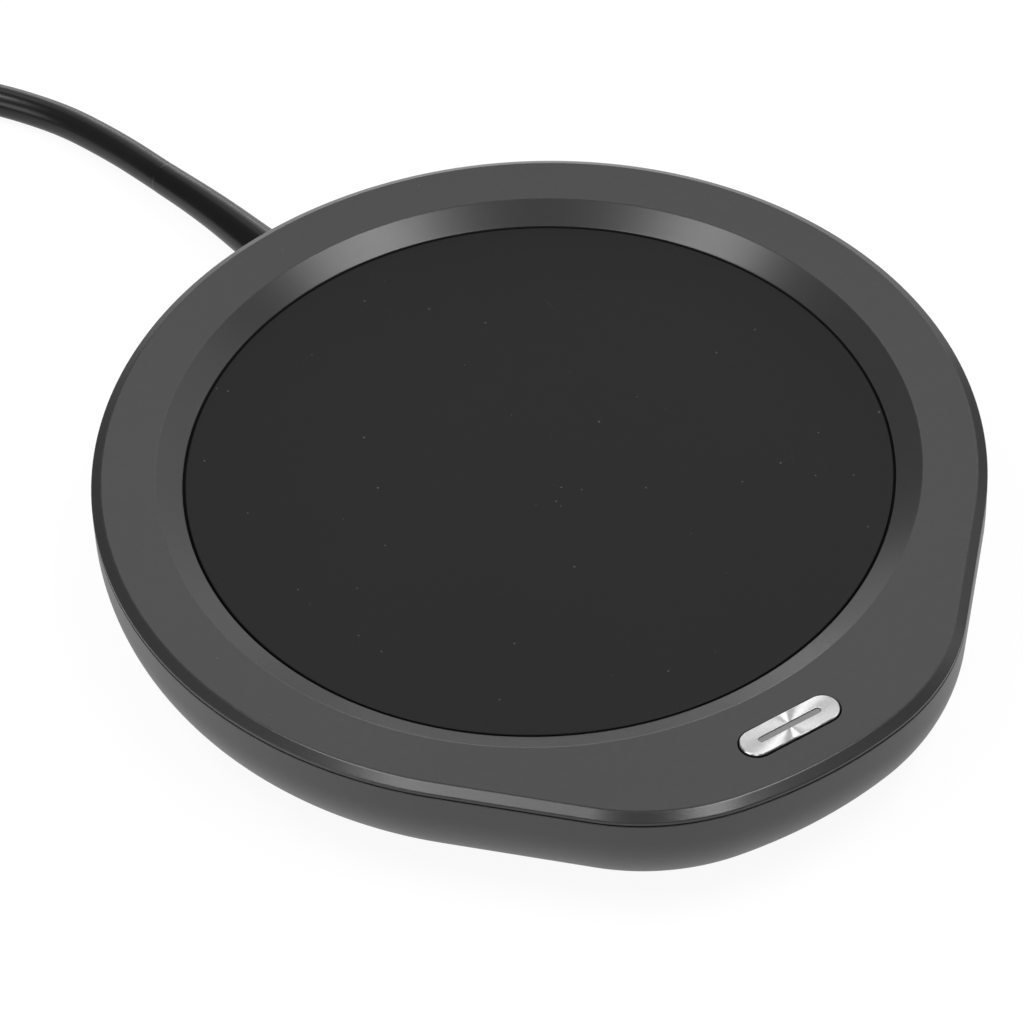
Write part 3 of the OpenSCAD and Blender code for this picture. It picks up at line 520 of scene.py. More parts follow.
def make_base():
    """Outside, lip and inside are one line carried round the outline, closed by two level faces."""
    middle = WALL / 2
    outside, inside = soft_edge(0, WALL_TOP - 0.5), soft_edge(WALL, COVER_EDGE_Z - 0.5)[::-1]
    lip = rounded([
        (*outside[-1], 0), (0, WALL_TOP, 0.12), (middle, WALL_TOP, 0), (middle, COVER_EDGE_Z, 0.1),
        (*soft_edge(WALL, COVER_EDGE_Z)[-1], 0.1), (*inside[0], 0),
    ])
    flat = ROUND_INSET + 0.6
    bare = lambda line: np.column_stack([line, np.zeros(len(line))])
    line = np.concatenate([
        [[flat, BASE_Z, 0]], bare(outside[:-1]), lip, bare(inside[1:]), [[flat, FLOOR_Z, 0]],
    ])
    patches = [
        carried(BODY, line), level([ring_of(BODY, flat)], BASE_Z), level([ring_of(BODY, flat)], FLOOR_Z),
    ]
    columns = [post(p, COLUMN_R, COLUMN_LOW, COLUMN_TOP, 0) for p in CASE_SCREWS]
    mesh = cut(mesh_of("base", patches), columns, "UNION")
    bore_top = COLUMN_TOP + 0.5
    mouth_r = HEAD_R + HEAD_CHAMFER
    bores = [turned(rounded([
        (0, 0, 0), (mouth_r, 0, 0), (mouth_r, BASE_Z, 0), (HEAD_R, BASE_Z + HEAD_CHAMFER, 0),
        (HEAD_R, HEAD_SEAT_Z, 0), (SCREW_R, HEAD_SEAT_Z, 0), (SCREW_R, bore_top, 0), (0, bore_top, 0),
    ]), p, 6.0) for p in CASE_SCREWS]
    bores += [turned([
        (0, 0), (FOOT_R + FOOT_GAP, 0), (FOOT_R + FOOT_GAP, BASE_Z), (FOOT_R, BASE_Z + FOOT_GAP),
        (FOOT_R, BASE_Z + FOOT_RECESS), (0, BASE_Z + FOOT_RECESS)], p, 4.0) for p in FEET]
    hole_r, hole_in, hole_out = BUSHING_R + BUSHING_GAP, 50, 70
    hole = turned([(0, hole_in), (hole_r, hole_in), (hole_r, hole_out), (0, hole_out)], step=6.0)
    bores.append(moved(hole, lambda v: np.column_stack([v[:, 0], v[:, 2], EXIT_Z + v[:, 1]])))
    mesh = cut(mesh, bores, "DIFFERENCE")
    stand("base_moulding", mesh, ["base_shell"])


make_base()

# ---- Top cover

def make_cover():
    """The outer edge is carried round the body's outline, the dish and its bore are turned about the plate's axis,
    and the button's opening with its guide is carried round a bar; level faces join them above and below."""
    roof_inset, ring_inset = SKIRT_INSET + SKIRT_T, 2.7
    roof_end, collar_end, dish_end, opening_end = roof_inset + 0.3, COLLAR_R + 0.3, DISH_R + 0.9, -0.6
    edge = rounded([
        (ring_inset, RING_TOP, 0), (BEVEL_W, RING_TOP, 0.5), (0, RING_TOP - BEVEL_H, 0.24), (0, COVER_EDGE_Z, 0.08),
        (SKIRT_INSET, COVER_EDGE_Z, 0), (SKIRT_INSET, SKIRT_Z, 0.15), (roof_inset, SKIRT_Z, 0.15),
        (roof_inset, ROOF_Z, 0), (roof_end, ROOF_Z, 0),
    ])
    dish = rounded([
        (dish_end, RING_TOP, 0), (DISH_R, RING_TOP, 0.4), (BORE_R, PLATE_TOP, 0.14), (BORE_R, LEDGE_TOP, 0),
        (LEDGE_R, LEDGE_TOP, 0.2), (LEDGE_R, LEDGE_Z, 0.2), (COLLAR_R, LEDGE_Z, 0.2), (COLLAR_R, ROOF_Z, 0),
        (collar_end, ROOF_Z, 0),
    ])
    opening = bar(BUTTON_HALF, BUTTON_R + BUTTON_GAP, (0, BUTTON_Y))
    guide_in, guide_out, guide_z = -1.35, -2.25, ROOF_Z - 2.4
    guide_end = guide_out - 0.05
    guide = rounded([
        (opening_end, RING_TOP, 0), (0, RING_TOP, 0.08), (0, ROOF_Z, 0), (guide_in, ROOF_Z, 0),
        (guide_in, guide_z, 0.1),
        (guide_out, guide_z, 0.1), (guide_out, ROOF_Z, 0), (guide_end, ROOF_Z, 0),
    ])
    dish_ring, collar_ring = (ring_of(circle(end, step=1.5), 0) for end in (dish_end, collar_end))
    patches = [
        carried(BODY, edge), turned(dish, step=1.5), carried(opening, guide),
        level([ring_of(BODY, ring_inset), dish_ring, ring_of(opening, opening_end)], RING_TOP),
        level([ring_of(BODY, roof_end), collar_ring, ring_of(opening, guide_end)], ROOF_Z),
    ]
    stand("cover_moulding", mesh_of("cover", patches), ["top_cover"])


make_cover()

# ---- Plate, button and light bar

def make_plate():
    """A disc with rounded edges, and a ring of points halfway out that keeps its face even."""
    line = rounded([
        (0, PLATE_TOP, 0), (PLATE_R, PLATE_TOP, 0.18), (PLATE_R, plate_low[2], 0.2), (0, plate_low[2], 0),
    ])
    line = np.insert(line, 1, [PLATE_R * 0.5, PLATE_TOP, 0], axis=0)
    stand("coated_plate", mesh_of("plate", [turned(line, step=1.5)]), ["heating_plate"])


make_plate()


def bar_reach(half, reach, angle):
    """How far a bar's edge is from its middle in each direction: on its straight side reach / |sin|, and past it
    half * |cos| + sqrt(reach^2 - half^2 * sin^2)."""
    across, along = np.abs(np.sin(angle)), np.abs(np.cos(angle))
    side = reach / np.maximum(across, 1e-9)
    end = half * along + np.sqrt(np.maximum(reach**2 - (half * across) ** 2, 0))
    return np.where(side * along <= half, side, end)


CAP_T = 0.5
CAP_COLUMNS = 240
SPUN_SCALE = 50


def make_cap():
    """Rings in polar form about the cap's middle, so that its spun lines stay true: out from the slot's wall, over
    the cut edge, down the side and back up inside. Its UV map runs outwards, at SPUN_SCALE a metre, and round."""
    bottom, cut_edge = cap_low[2], 0.14
    inside_r, inside_top = BUTTON_R - CAP_T, BUTTON_TOP - CAP_T
    line = rounded([
        (SLOT_R, inside_top, 0), (SLOT_R, BUTTON_TOP, 0.06), (BUTTON_R - cut_edge, BUTTON_TOP, 0.05),
        (BUTTON_R, BUTTON_TOP - cut_edge, 0.05), (BUTTON_R, bottom, 0), (inside_r, bottom, 0),
        (inside_r, inside_top, 0), (SLOT_R, inside_top, 0),
    ])
    angle = around(CAP_COLUMNS)
    half = np.interp(line[:, 0], [SLOT_R, inside_r], [SLOT_HALF, BUTTON_HALF])
    reach = bar_reach(half[:, None], line[:, 0, None], angle[None, :])
    points = np.stack([reach * np.cos(angle), BUTTON_Y + reach * np.sin(angle), reach * 0 + line[:, 1, None]], 2)
    mesh = raw_mesh("cap", points.reshape(-1, 3), grid(len(line), CAP_COLUMNS).tolist())
    point, share = share_round(mesh, len(line), CAP_COLUMNS)
    add_uv(mesh, "spun", reach.ravel()[point] * MM * SPUN_SCALE, share)
    weld(mesh)
    stand("spun_cap", mesh, ["button_cap"], "button")


make_cap()


def make_light_bar():
    """A wide foot under the cap, and a narrow bar on it that fills the slot to just below the cap's face."""
    low, high = size_of("light_bar")
    bottom, shoulder, top = low[2], low[2] + 0.85, high[2] - 0.05
    wide = bar(BUTTON_HALF, BUTTON_R - 0.6, (0, BUTTON_Y))
    narrow = bar(SLOT_HALF, SLOT_R - 0.06, (0, BUTTON_Y))
    wide_flat, narrow_flat = 0.4, 0.2
    foot = rounded([(wide_flat, bottom, 0), (0, bottom, 0.1), (0, shoulder, 0.1), (wide_flat, shoulder, 0)])
    rise = rounded([(0, shoulder, 0), (0, top, 0.08), (narrow_flat, top, 0)])
    patches = [
        carried(wide, foot), level([ring_of(wide, wide_flat)], bottom), carried(narrow, rise),
        level([ring_of(narrow, narrow_flat)], top),
        level([ring_of(wide, wide_flat), ring_of(narrow, 0)], shoulder),
    ]
    stand("light_window", mesh_of("light_bar", patches), ["light_bar"], "button")


make_light_bar()

# ---- Tie, plug and pins

TIE_ANGLE = math.radians(-45)
TIE_HALF_WIDTH = 3.5
TIE_CORNER = 2.3
TIE_SLACK = 0.2
TIE_EDGE = 0.14


def make_tie():
    """A strap bent round the coil's bundle: a rounded rectangle stands on edge, and the strap's flat section is
    carried round it."""
    inner, outer = COIL_MEAN_R - 4 * CORD_R - TIE_SLACK, COIL_MEAN_R + 4 * CORD_R + TIE_SLACK
    low, high = 0.0, TIE_T + 4 * CORD_R + TIE_T
    mid = ((inner + outer) / 2, (low + high) / 2)
    across, up = (outer - inner) / 2 + TIE_T - TIE_CORNER, (high - low) / 2 - TIE_CORNER
    quarter = math.pi / 2
    seats = [(across, -up), (across, up), (-across, up), (-across, -up)]
    loop = outline([((mid[0] + x, mid[1] + y), TIE_CORNER, k * quarter, (k + 1) * quarter)
                    for k, (x, y) in enumerate(seats)], 9.0)
    section = rounded([
        (TIE_T / 2, -TIE_HALF_WIDTH, 0), (0, -TIE_HALF_WIDTH, TIE_EDGE), (0, TIE_HALF_WIDTH, TIE_EDGE),
        (TIE_T, TIE_HALF_WIDTH, TIE_EDGE), (TIE_T, -TIE_HALF_WIDTH, TIE_EDGE), (TIE_T / 2, -TIE_HALF_WIDTH, 0),
    ])
    c, s = math.cos(TIE_ANGLE), math.sin(TIE_ANGLE)
    put = lambda v: np.column_stack([
        COIL_CENTRE[0] + v[:, 0] * c - v[:, 2] * s, COIL_CENTRE[1] + v[:, 0] * s + v[:, 2] * c, v[:, 1]])
    stand("strap", mesh_of("strap", [moved(carried(loop, section), put)]), ["cord_tie"])


make_tie()

plug_low, plug_high = size_of("plug_body")
PLUG_X = (plug_low[0] + plug_high[0]) / 2
PLUG_Z = (plug_low[2] + plug_high[2]) / 2
PLUG_BACK = plug_high[1] - AXIS[1]
PLUG_FRONT = plug_low[1] - AXIS[1]
PLUG_HALF_W = (plug_high[0] - plug_low[0]) / 2
PLUG_HALF_H = (plug_high[2] - plug_low[2]) / 2
PLUG_FLAT = 13.05
PLUG_BOOT = 16.0
PLUG_SIDES = 96
PIN_HALF_PITCH = 9.3
PIN_R = 2.0
SLEEVE_R = 1.9
SLEEVE_END = -10


def make_plug():
    """Sections along the plug from the cord to its face. A section's reach in a direction is the soft least of the
    distances to its flat sides, (sum of (cos / distance)^p)^(-1/p): two level sides and four slanting ones. The boot
    is round, and p grows towards the face so that the sides get flatter."""
    length = PLUG_BACK - PLUG_FRONT
    far = np.concatenate([
        [0, 0.05], np.linspace(0.4, PLUG_BOOT - 1, 22), np.linspace(PLUG_BOOT, length - 1, 60),
        length - 1 + np.sin(np.linspace(0.15, math.pi / 2, 9)),
    ])
    end = np.sqrt(np.clip(1 - np.clip(far - length + 1, 0, 1) ** 2, 0.0, 1))
    shrink = 1 - 0.9 * (1 - end)
    boot = np.interp(far, [0, 0.4, PLUG_BOOT], [CORD_R + 0.1, CORD_R + 0.5, CORD_R + 1.7])
    t = np.clip((far - PLUG_BOOT + 3) / 25, 0, 1)
    ease = t * t * (3 - 2 * t)
    wide = boot + (PLUG_HALF_W - boot) * ease
    high = boot + (PLUG_HALF_H - boot) * np.clip(ease * 1.5, 0, 1) ** 0.8
    wide, high = wide - (1 - shrink), high - (1 - shrink)
    slant = math.atan2(PLUG_HALF_W - PLUG_FLAT, PLUG_HALF_H)
    a = around(PLUG_SIDES)
    level_sides = np.abs(np.sin(a))[None, :] / high[:, None]
    lean = np.interp(ease, [0, 1], [math.pi / 4, slant])[:, None]
    reach_side = wide[:, None] * np.cos(lean)
    slanting = [np.clip(np.cos(a[None, :] - d), 0, None) / reach_side
                for d in (lean, -lean, math.pi - lean, lean - math.pi)]
    p = (3 + 11 * ease)[:, None]
    total = level_sides**p + sum(side**p for side in slanting)
    reach = total ** (-1 / p)
    round_share = (1 - np.clip((far - 1) / (PLUG_BOOT + 4), 0, 1))[:, None]
    reach = reach * (1 - round_share) + boot[:, None] * round_share
    points = np.stack([
        PLUG_X - AXIS[0] + reach * np.cos(a), np.broadcast_to((PLUG_BACK - far)[:, None], reach.shape),
        PLUG_Z + reach * np.sin(a)], 2)
    points[..., 0] = np.clip(points[..., 0], PLUG_X - PLUG_HALF_W, PLUG_X + PLUG_HALF_W)
    points[..., 2] = np.clip(points[..., 2], PLUG_Z - PLUG_HALF_H, PLUG_Z + PLUG_HALF_H)
    patch = (points.reshape(-1, 3), tube(len(far), PLUG_SIDES), np.zeros(points[..., 0].size))
    return stand("plug_moulding", mesh_of("plug", [patch]), ["plug_body"])


def make_pins():
    """Each pin is turned about its own axis: a sleeve near the plug's face, then bare metal with a round tip."""
    low, _ = size_of("plug_pins")
    tip, root, core_r = low[1] - AXIS[1] - PLUG_FRONT, 2, 1.85
    sleeve = [(0, root, 0), (SLEEVE_R, root, 0), (SLEEVE_R, SLEEVE_END, 0.15), (1.7, SLEEVE_END, 0), (0, SLEEVE_END, 0)]
    metal = [(0, SLEEVE_END + 1, 0), (core_r, SLEEVE_END + 1, 0), (core_r, SLEEVE_END - 0.1, 0),
             (PIN_R, SLEEVE_END - 0.1, 0.1), (PIN_R, tip, 1.2), (0, tip, 0)]
    made = []
    for name, line, slot, nodes in (
            ("pin_sleeves", sleeve, "plug_vinyl", []), ("pin_tips", metal, "pin_nickel", ["plug_pins"])):
        bars = [moved(turned(rounded(line), step=6.0), lambda v, x=side * PIN_HALF_PITCH: np.column_stack(
            [PLUG_X + x + v[:, 0], PLUG_FRONT + v[:, 2], PLUG_Z + v[:, 1]])) for side in (-1, 1)]
        made.append(stand(name, mesh_of(name, bars), nodes))
    return made


plug = make_plug()
pins = make_pins()

# ---- Shader node groups

def feed(tree, inputs, values):
    """Gives inputs their values by name or number. A value that is a socket is linked."""
    for key, value in values.items():
        if isinstance(value, bpy.types.NodeSocket):
            tree.links.new(value, inputs[key])
        else:
            inputs[key].default_value = value


def add(tree, kind, inputs=None, **settings):
    """A shader node of that kind, with its settings and inputs."""
    made = tree.nodes.new("ShaderNode" + kind)
    for key, value in settings.items():
        setattr(made, key, value)
    feed(tree, made.inputs, inputs or {})
    return made


def maths(tree, operation, a, b):
    """The result of one Math node on two values."""
    return add(tree, "Math", {0: a, 1: b}, operation=operation).outputs[0]


def between(tree, value, low, high, to_low=0.0, to_high=1.0):
    """A value between low and high stretched onto to_low to to_high, and held there beyond them."""
    made = add(tree, "MapRange", {
        "Value": value, "From Min": low, "From Max": high, "To Min": to_low, "To Max": to_high})
    return made.outputs[0]


def blended(tree, share, a, b):
    """Colour a turning into colour b."""
    return add(tree, "Mix", {0: share, 6: a, 7: b}, data_type="RGBA").outputs[2]


def laid(tree, mask, share, tone, colour):
    """The colour laid over tone by that share of the mask."""
    return blended(tree, maths(tree, "MULTIPLY", mask, share), tone, colour)


def grey(value):
    """A grey as a shader's colour."""
    return (value, value, value, 1)


def new_group(name, inputs, outputs, build):
    """A node group: inputs are {name: default}, a vector's default has three numbers; build(tree, sockets) returns
    its outputs by name."""
    tree = bpy.data.node_groups.new(name, "ShaderNodeTree")
    for socket, default in inputs.items():
        kind = "NodeSocketFloat" if isinstance(default, float) else "NodeSocketVector"
        tree.interface.new_socket(socket, in_out="INPUT", socket_type=kind).default_value = default
    for socket in outputs:
        tree.interface.new_socket(socket, in_out="OUTPUT", socket_type="NodeSocketFloat")
    start, end = tree.nodes.new("NodeGroupInput"), tree.nodes.new("NodeGroupOutput")
    for socket, value in build(tree, start.outputs).items():
        tree.links.new(value, end.inputs[socket])
    return tree


def build_grain(tree, given):
    """The fine pitting of a moulded or blasted surface: two sizes of noise added."""
    fine = add(tree, "TexNoise", {"Vector": given["Place"], "Scale": given["Scale"], "Detail": 2.0, "Roughness": 0.6})
    coarse = add(tree, "TexNoise", {
        "Vector": given["Place"], "Scale": maths(tree, "MULTIPLY", given["Scale"], 0.31), "Detail": 1.0})
    height = maths(tree, "ADD", maths(tree, "MULTIPLY", fine.outputs[0], 0.65),
                   maths(tree, "MULTIPLY", coarse.outputs[0], 0.35))
    return {"Height": height, "Tone": coarse.outputs[0]}


def build_handling(tree, given):
    """Large soft clouds, where hands and cups have left the surface a little duller or smoother."""
    cloud = add(tree, "TexNoise", {
        "Vector": given["Place"], "Scale": given["Scale"], "Detail": 3.0, "Roughness": 0.55, "Distortion": 0.4})
    return {"Cloud": between(tree, cloud.outputs[0], 0.3, 0.7)}


def build_specks(tree, given):
    """Single specks in some cells of a cell pattern: Share of the cells hold one, up to Size of a cell across."""
    cells = add(tree, "TexVoronoi", {"Vector": given["Place"], "Scale": given["Scale"]}, voronoi_dimensions="3D")
    parts = add(tree, "SeparateColor", {0: cells.outputs["Color"]})
    reach = maths(tree, "MULTIPLY", given["Size"], maths(tree, "ADD", 0.4, parts.outputs[1]))
    inside = between(tree, maths(tree, "DIVIDE", cells.outputs["Distance"], reach), 1.0, 0.6)
    chosen = maths(tree, "LESS_THAN", parts.outputs[0], given["Share"])
    return {"Mask": maths(tree, "MULTIPLY", inside, chosen)}


def build_wear_and_edge_highlight(tree, given):
    """Paler rounded edges, partly rubbed wear and partly a painted highlight along the fillets: the piece's own edge
    attribute, broken up by noise.
    """
    edge = add(tree, "Attribute", attribute_name="edge")
    noise = add(tree, "TexNoise", {"Vector": given["Place"], "Scale": given["Scale"], "Detail": 4.0, "Roughness": 0.7})
    broken_up = between(tree, noise.outputs[0], 0.3, 0.8)
    return {"Mask": maths(tree, "MULTIPLY", edge.outputs["Fac"], broken_up)}


PLACE = (0.0, 0.0, 0.0)
GRAIN = new_group("moulded_grain", {"Place": PLACE, "Scale": 3000.0}, ["Height", "Tone"], build_grain)
HANDLING = new_group("handling", {"Place": PLACE, "Scale": 25.0}, ["Cloud"], build_handling)
SPECKS = new_group(
    "specks", {"Place": PLACE, "Scale": 160.0, "Size": 0.03, "Share": 0.3}, ["Mask"], build_specks)
WEAR_AND_EDGE_HIGHLIGHT = new_group("edge_wear_and_highlight", {"Place": PLACE, "Scale": 220.0}, ["Mask"], build_wear_and_edge_highlight)


def use(tree, group, inputs):
    """A group placed in a material: its outputs."""
    made = tree.nodes.new("ShaderNodeGroup")
    made.node_tree = group
    feed(tree, made.inputs, inputs)
    return made.outputs


def new_finish(name, **fixed):
    """An empty material with a Principled shader, its fixed sockets set: (material, tree, shader, place)."""
    material = bpy.data.materials.new(name)
    material.use_nodes = True
    tree = material.node_tree
    shader = next(n for n in tree.nodes if n.type == "BSDF_PRINCIPLED")
    for key, value in fixed.items():
        shader.inputs[key.replace("_", " ")].default_value = value
    place = add(tree, "TexCoord").outputs["Object"]
    return material, tree, shader, place


def set_surface(tree, shader, tone, rough, height, strength, distance):
    """Feeds the shader its colour, its roughness and a bump."""
    bump = add(tree, "Bump", {"Height": height, "Strength": strength, "Distance": distance})
    feed(tree, shader.inputs, {"Base Color": tone, "Roughness": rough, "Normal": bump.outputs[0]})


def scaled(colour, share):
    """A colour made that much brighter or darker."""
    return (*(c * share for c in colour), 1)


def make_finish(name, colour, rough, metal=0.0, grain=3000.0, depth=0.00001, cloud=0.12, rough_spread=0.08,
                dust=0.1, wear_and_highlight=0.0, dust_scale=260.0, **fixed):
    """A finish for a hard piece. Its colour varies by cloud and grain, its roughness by handling, its rounded edges are
    paled by their share, partly rubbed wear and partly a painted highlight, and specks of dust lie on it. Lengths are
    in metres, scales per metre."""
    material, tree, shader, place = new_finish(name, **fixed)
    fine = use(tree, GRAIN, {"Place": place, "Scale": grain})
    soft = use(tree, HANDLING, {"Place": place, "Scale": 28.0})
    tone = blended(tree, fine["Tone"], scaled(colour, 0.94), scaled(colour, 1.06))
    tone = laid(tree, soft["Cloud"], cloud, tone, scaled(colour, 1.5))
    # painted highlight: the rounded edges are laid paler, partly as rubbed wear and partly as the bright line a fillet
    # catches
    if wear_and_highlight:
        paled_edges = use(tree, WEAR_AND_EDGE_HIGHLIGHT, {"Place": place, "Scale": 900.0})
        pale = scaled([min(1, 0.12 + 1.5 * c) for c in colour], 1)
        tone = laid(tree, paled_edges["Mask"], wear_and_highlight, tone, pale)
    if dust:
        bits = use(tree, SPECKS, {"Place": place, "Scale": dust_scale, "Size": 0.035, "Share": dust})
        tone = laid(tree, bits["Mask"], 0.35, tone, grey(0.35))
    shader.inputs["Metallic"].default_value = metal
    handled = between(tree, soft["Cloud"], 0.0, 1.0, rough - rough_spread, rough + rough_spread)
    set_surface(tree, shader, tone, handled, fine["Height"], 0.5, depth)
    return material


# ---- Finishes of the outer pieces

COVER_GREY = (0.0396, 0.0396, 0.0402)
BASE_GREY = (0.0610, 0.0610, 0.0620)
PLATE_BLACK = (0.0115, 0.0115, 0.0117)

cover_finish = make_finish(
    "cover_plastic", COVER_GREY, 0.24, grain=2600.0, depth=0.000011, cloud=0.05, rough_spread=0.02, dust=0.3,
    wear_and_highlight=0.14, dust_scale=420.0)
base_finish = make_finish(
    "base_plastic", BASE_GREY, 0.33, grain=2200.0, depth=0.000013, cloud=0.08, rough_spread=0.03, dust=0.2,
    wear_and_highlight=0.1, Specular_IOR_Level=0.5)


def make_plate_finish():
    """A satin heat-proof coating with fine orange peel, a few fibres and specks, and hairline scratches."""
    material, tree, shader, place = new_finish("plate_coating", Specular_IOR_Level=0.2)
    fine = use(tree, GRAIN, {"Place": place, "Scale": 5200.0})
    soft = use(tree, HANDLING, {"Place": place, "Scale": 18.0})
    tone = blended(tree, fine["Tone"], scaled(PLATE_BLACK, 0.93), scaled(PLATE_BLACK, 1.07))
    tone = laid(tree, soft["Cloud"], 0.1, tone, scaled(PLATE_BLACK, 1.5))
    bits = use(tree, SPECKS, {"Place": place, "Scale": 420.0, "Size": 0.06, "Share": 0.5})
    drawn = add(tree, "Mapping", {
        "Vector": place, "Rotation": (0, 0, math.radians(63)), "Scale": (1.0, 0.05, 1.0)})
    lines = use(tree, SPECKS, {"Place": drawn.outputs[0], "Scale": 520.0, "Size": 0.035, "Share": 0.12})
    tone = laid(tree, bits["Mask"], 0.35, tone, grey(0.3))
    tone = laid(tree, lines["Mask"], 0.12, tone, grey(0.2))
    handled = between(tree, soft["Cloud"], 0.0, 1.0, 0.36, 0.42)
    set_surface(tree, shader, tone, handled, fine["Height"], 0.4, 0.000006)
    return material


def make_spun_finish():
    """Bright metal turned on a lathe: fine rings about the cap's middle spread the gloss outwards from it."""
    material, tree, shader, place = new_finish("button_metal", Metallic=1.0, Anisotropic=1.0)
    lie = add(tree, "Tangent", direction_type="UV_MAP", uv_map="spun")
    tree.links.new(lie.outputs[0], shader.inputs["Tangent"])
    uv = add(tree, "UVMap", uv_map="spun")
    ring = add(tree, "SeparateXYZ", {0: uv.outputs[0]})
    rings = add(tree, "TexNoise", {"W": maths(tree, "MULTIPLY", ring.outputs[0], 400.0), "Scale": 1.0, "Detail": 3.0},
                noise_dimensions="1D")
    tone = blended(tree, rings.outputs[0], (0.91, 0.91, 0.915, 1), (0.99, 0.99, 0.99, 1))
    fine = use(tree, GRAIN, {"Place": place, "Scale": 5200.0})
    tone = blended(tree, between(tree, fine["Height"], 0.42, 0.62, 0.0, 0.3), tone, (0.62, 0.62, 0.625, 1))
    ringed = between(tree, rings.outputs[0], 0.3, 0.7, 0.31, 0.41)
    set_surface(tree, shader, tone, ringed, rings.outputs[0], 0.15, 0.000006)
    return material


def make_cord_finish():
    """Extruded glossy vinyl: faint lines along the cord, slow waves across it, and a little dust."""
    material, tree, shader, place = new_finish("cord_vinyl", Specular_IOR_Level=0.5)
    uv = add(tree, "UVMap", uv_map="lengthwise")
    drawn = add(tree, "Mapping", {"Vector": uv.outputs[0], "Scale": (60.0, 6.0, 1.0)})
    lines = add(tree, "TexNoise", {"Vector": drawn.outputs[0], "Scale": 1.0, "Detail": 2.0})
    soft = use(tree, HANDLING, {"Place": place, "Scale": 60.0})
    bits = use(tree, SPECKS, {"Place": place, "Scale": 300.0, "Size": 0.04, "Share": 0.2})
    tone = blended(tree, soft["Cloud"], grey(0.0050), grey(0.0085))
    tone = laid(tree, bits["Mask"], 0.3, tone, grey(0.25))
    handled = between(tree, soft["Cloud"], 0.0, 1.0, 0.27, 0.34)
    set_surface(tree, shader, tone, handled, lines.outputs[0], 0.25, 0.00001)
    return material


def make_weave_finish(name, colour, pitch, rough):
    """A woven strap: two sets of threads, waves along and across, each raised in turn."""
    material, tree, shader, place = new_finish(name, Sheen_Weight=0.2, Sheen_Roughness=0.5)
    warp, weft = (
        add(tree, "TexWave", {"Vector": place, "Scale": 1 / pitch, "Distortion": 0.6}, bands_direction=way)
        for way in ("DIAGONAL", "Z"))
    threads = maths(tree, "MAXIMUM", warp.outputs["Fac"], weft.outputs["Fac"])
    fuzz = use(tree, GRAIN, {"Place": place, "Scale": 5000.0})
    tone = blended(tree, threads, scaled(colour, 0.6), scaled(colour, 1.25))
    tone = laid(tree, fuzz["Tone"], 0.3, tone, scaled(colour, 1.9))
    fuzzy = between(tree, fuzz["Tone"], 0.2, 0.8, rough - 0.06, rough + 0.06)
    set_surface(tree, shader, tone, fuzzy, threads, 0.6, 0.00015)
    return material


light_finish = make_finish(
    "light_lens", (0.25, 0.25, 0.248), 0.38, grain=5000.0, depth=0.000004, cloud=0.1, dust=0.0)
boot_finish = make_finish(
    "bushing_vinyl", (0.0064, 0.0064, 0.0065), 0.30, grain=2500.0, depth=0.000005, cloud=0.1, rough_spread=0.04,
    dust=0.1)
plug_finish = make_finish(
    "plug_vinyl", (0.010, 0.010, 0.0104), 0.42, grain=1800.0, depth=0.00002, cloud=0.12, dust=0.2)
pin_finish = make_finish(
    "pin_nickel", (0.62, 0.6, 0.56), 0.22, metal=1.0, grain=3500.0, depth=0.000004, cloud=0.1, dust=0.0)

OUTER = {
    "cover_moulding": cover_finish, "base_moulding": base_finish, "coated_plate": make_plate_finish(),
    "spun_cap": make_spun_finish(), "light_window": light_finish, "power_cord_vinyl": make_cord_finish(),
    "cord_boot": boot_finish, "strap": make_weave_finish("tie_fabric", (0.02, 0.02, 0.022), 0.0009, 0.8),
    "plug_moulding": plug_finish, "pin_sleeves": plug_finish, "pin_tips": pin_finish,
}
for name, finish in OUTER.items():
    pieces[name].data.materials.append(finish)

# ---- Finishes of the CAD pieces inside and below

def finish_nodes(nodes, *made, **detail):
    """One finish on the CAD nodes that stay."""
    finish = make_finish(*made, **detail)
    for node in nodes:
        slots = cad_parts[node].data.materials
        slots.clear()
        slots.append(finish)


finish_nodes(["rubber_feet"], "foot_rubber", (0.0135, 0.0135, 0.0135), 0.62, grain=1500.0, depth=0.00003, dust=0.35)
finish_nodes(
    ["plate_gasket"],
    "gasket_rubber", (0.004, 0.004, 0.004), 0.7, grain=1500.0, depth=0.00002, dust=0.0, Specular_IOR_Level=0.2)
finish_nodes(
    ["case_screws", "tray_screws", "board_screws", "button_board_screws", "clamp_screws"],
    "screw_steel", (0.36, 0.37, 0.38), 0.33, metal=1.0, grain=4000.0, depth=0.000008, dust=0.0)
finish_nodes(["heat_spreader"], "spreader_aluminium", (0.6, 0.61, 0.63), 0.36, metal=1.0, grain=1600.0, depth=0.00001)
finish_nodes(["retainer_tray"], "tray_steel", (0.5, 0.51, 0.52), 0.4, metal=1.0, grain=900.0, depth=0.00001)
finish_nodes(
    ["sensor_clip", "switch_frame", "switch_terminals", "switch_dome"],
    "contact_steel", (0.6, 0.61, 0.62), 0.28, metal=1.0, grain=3000.0, depth=0.000005)
finish_nodes(["film_heater"], "heater_film", (0.42, 0.16, 0.035), 0.24, grain=700.0, depth=0.00001, cloud=0.3)
finish_nodes(
    ["insulation_pad"], "insulation_felt", (0.78, 0.75, 0.67), 0.9, grain=1400.0, depth=0.0002, cloud=0.2, dust=0.0)
finish_nodes(
    ["temperature_sensor", "thermal_fuse"], "ceramic", (0.72, 0.68, 0.6), 0.3, grain=2500.0, depth=0.000008, dust=0.0)
finish_nodes(
    ["main_board", "button_board"],
    "board_green", (0.03, 0.14, 0.055), 0.3, grain=1100.0, depth=0.00003, cloud=0.3, dust=0.1)
finish_nodes(["film_capacitor"], "film_yellow", (0.58, 0.36, 0.03), 0.42, grain=2200.0, depth=0.00001)
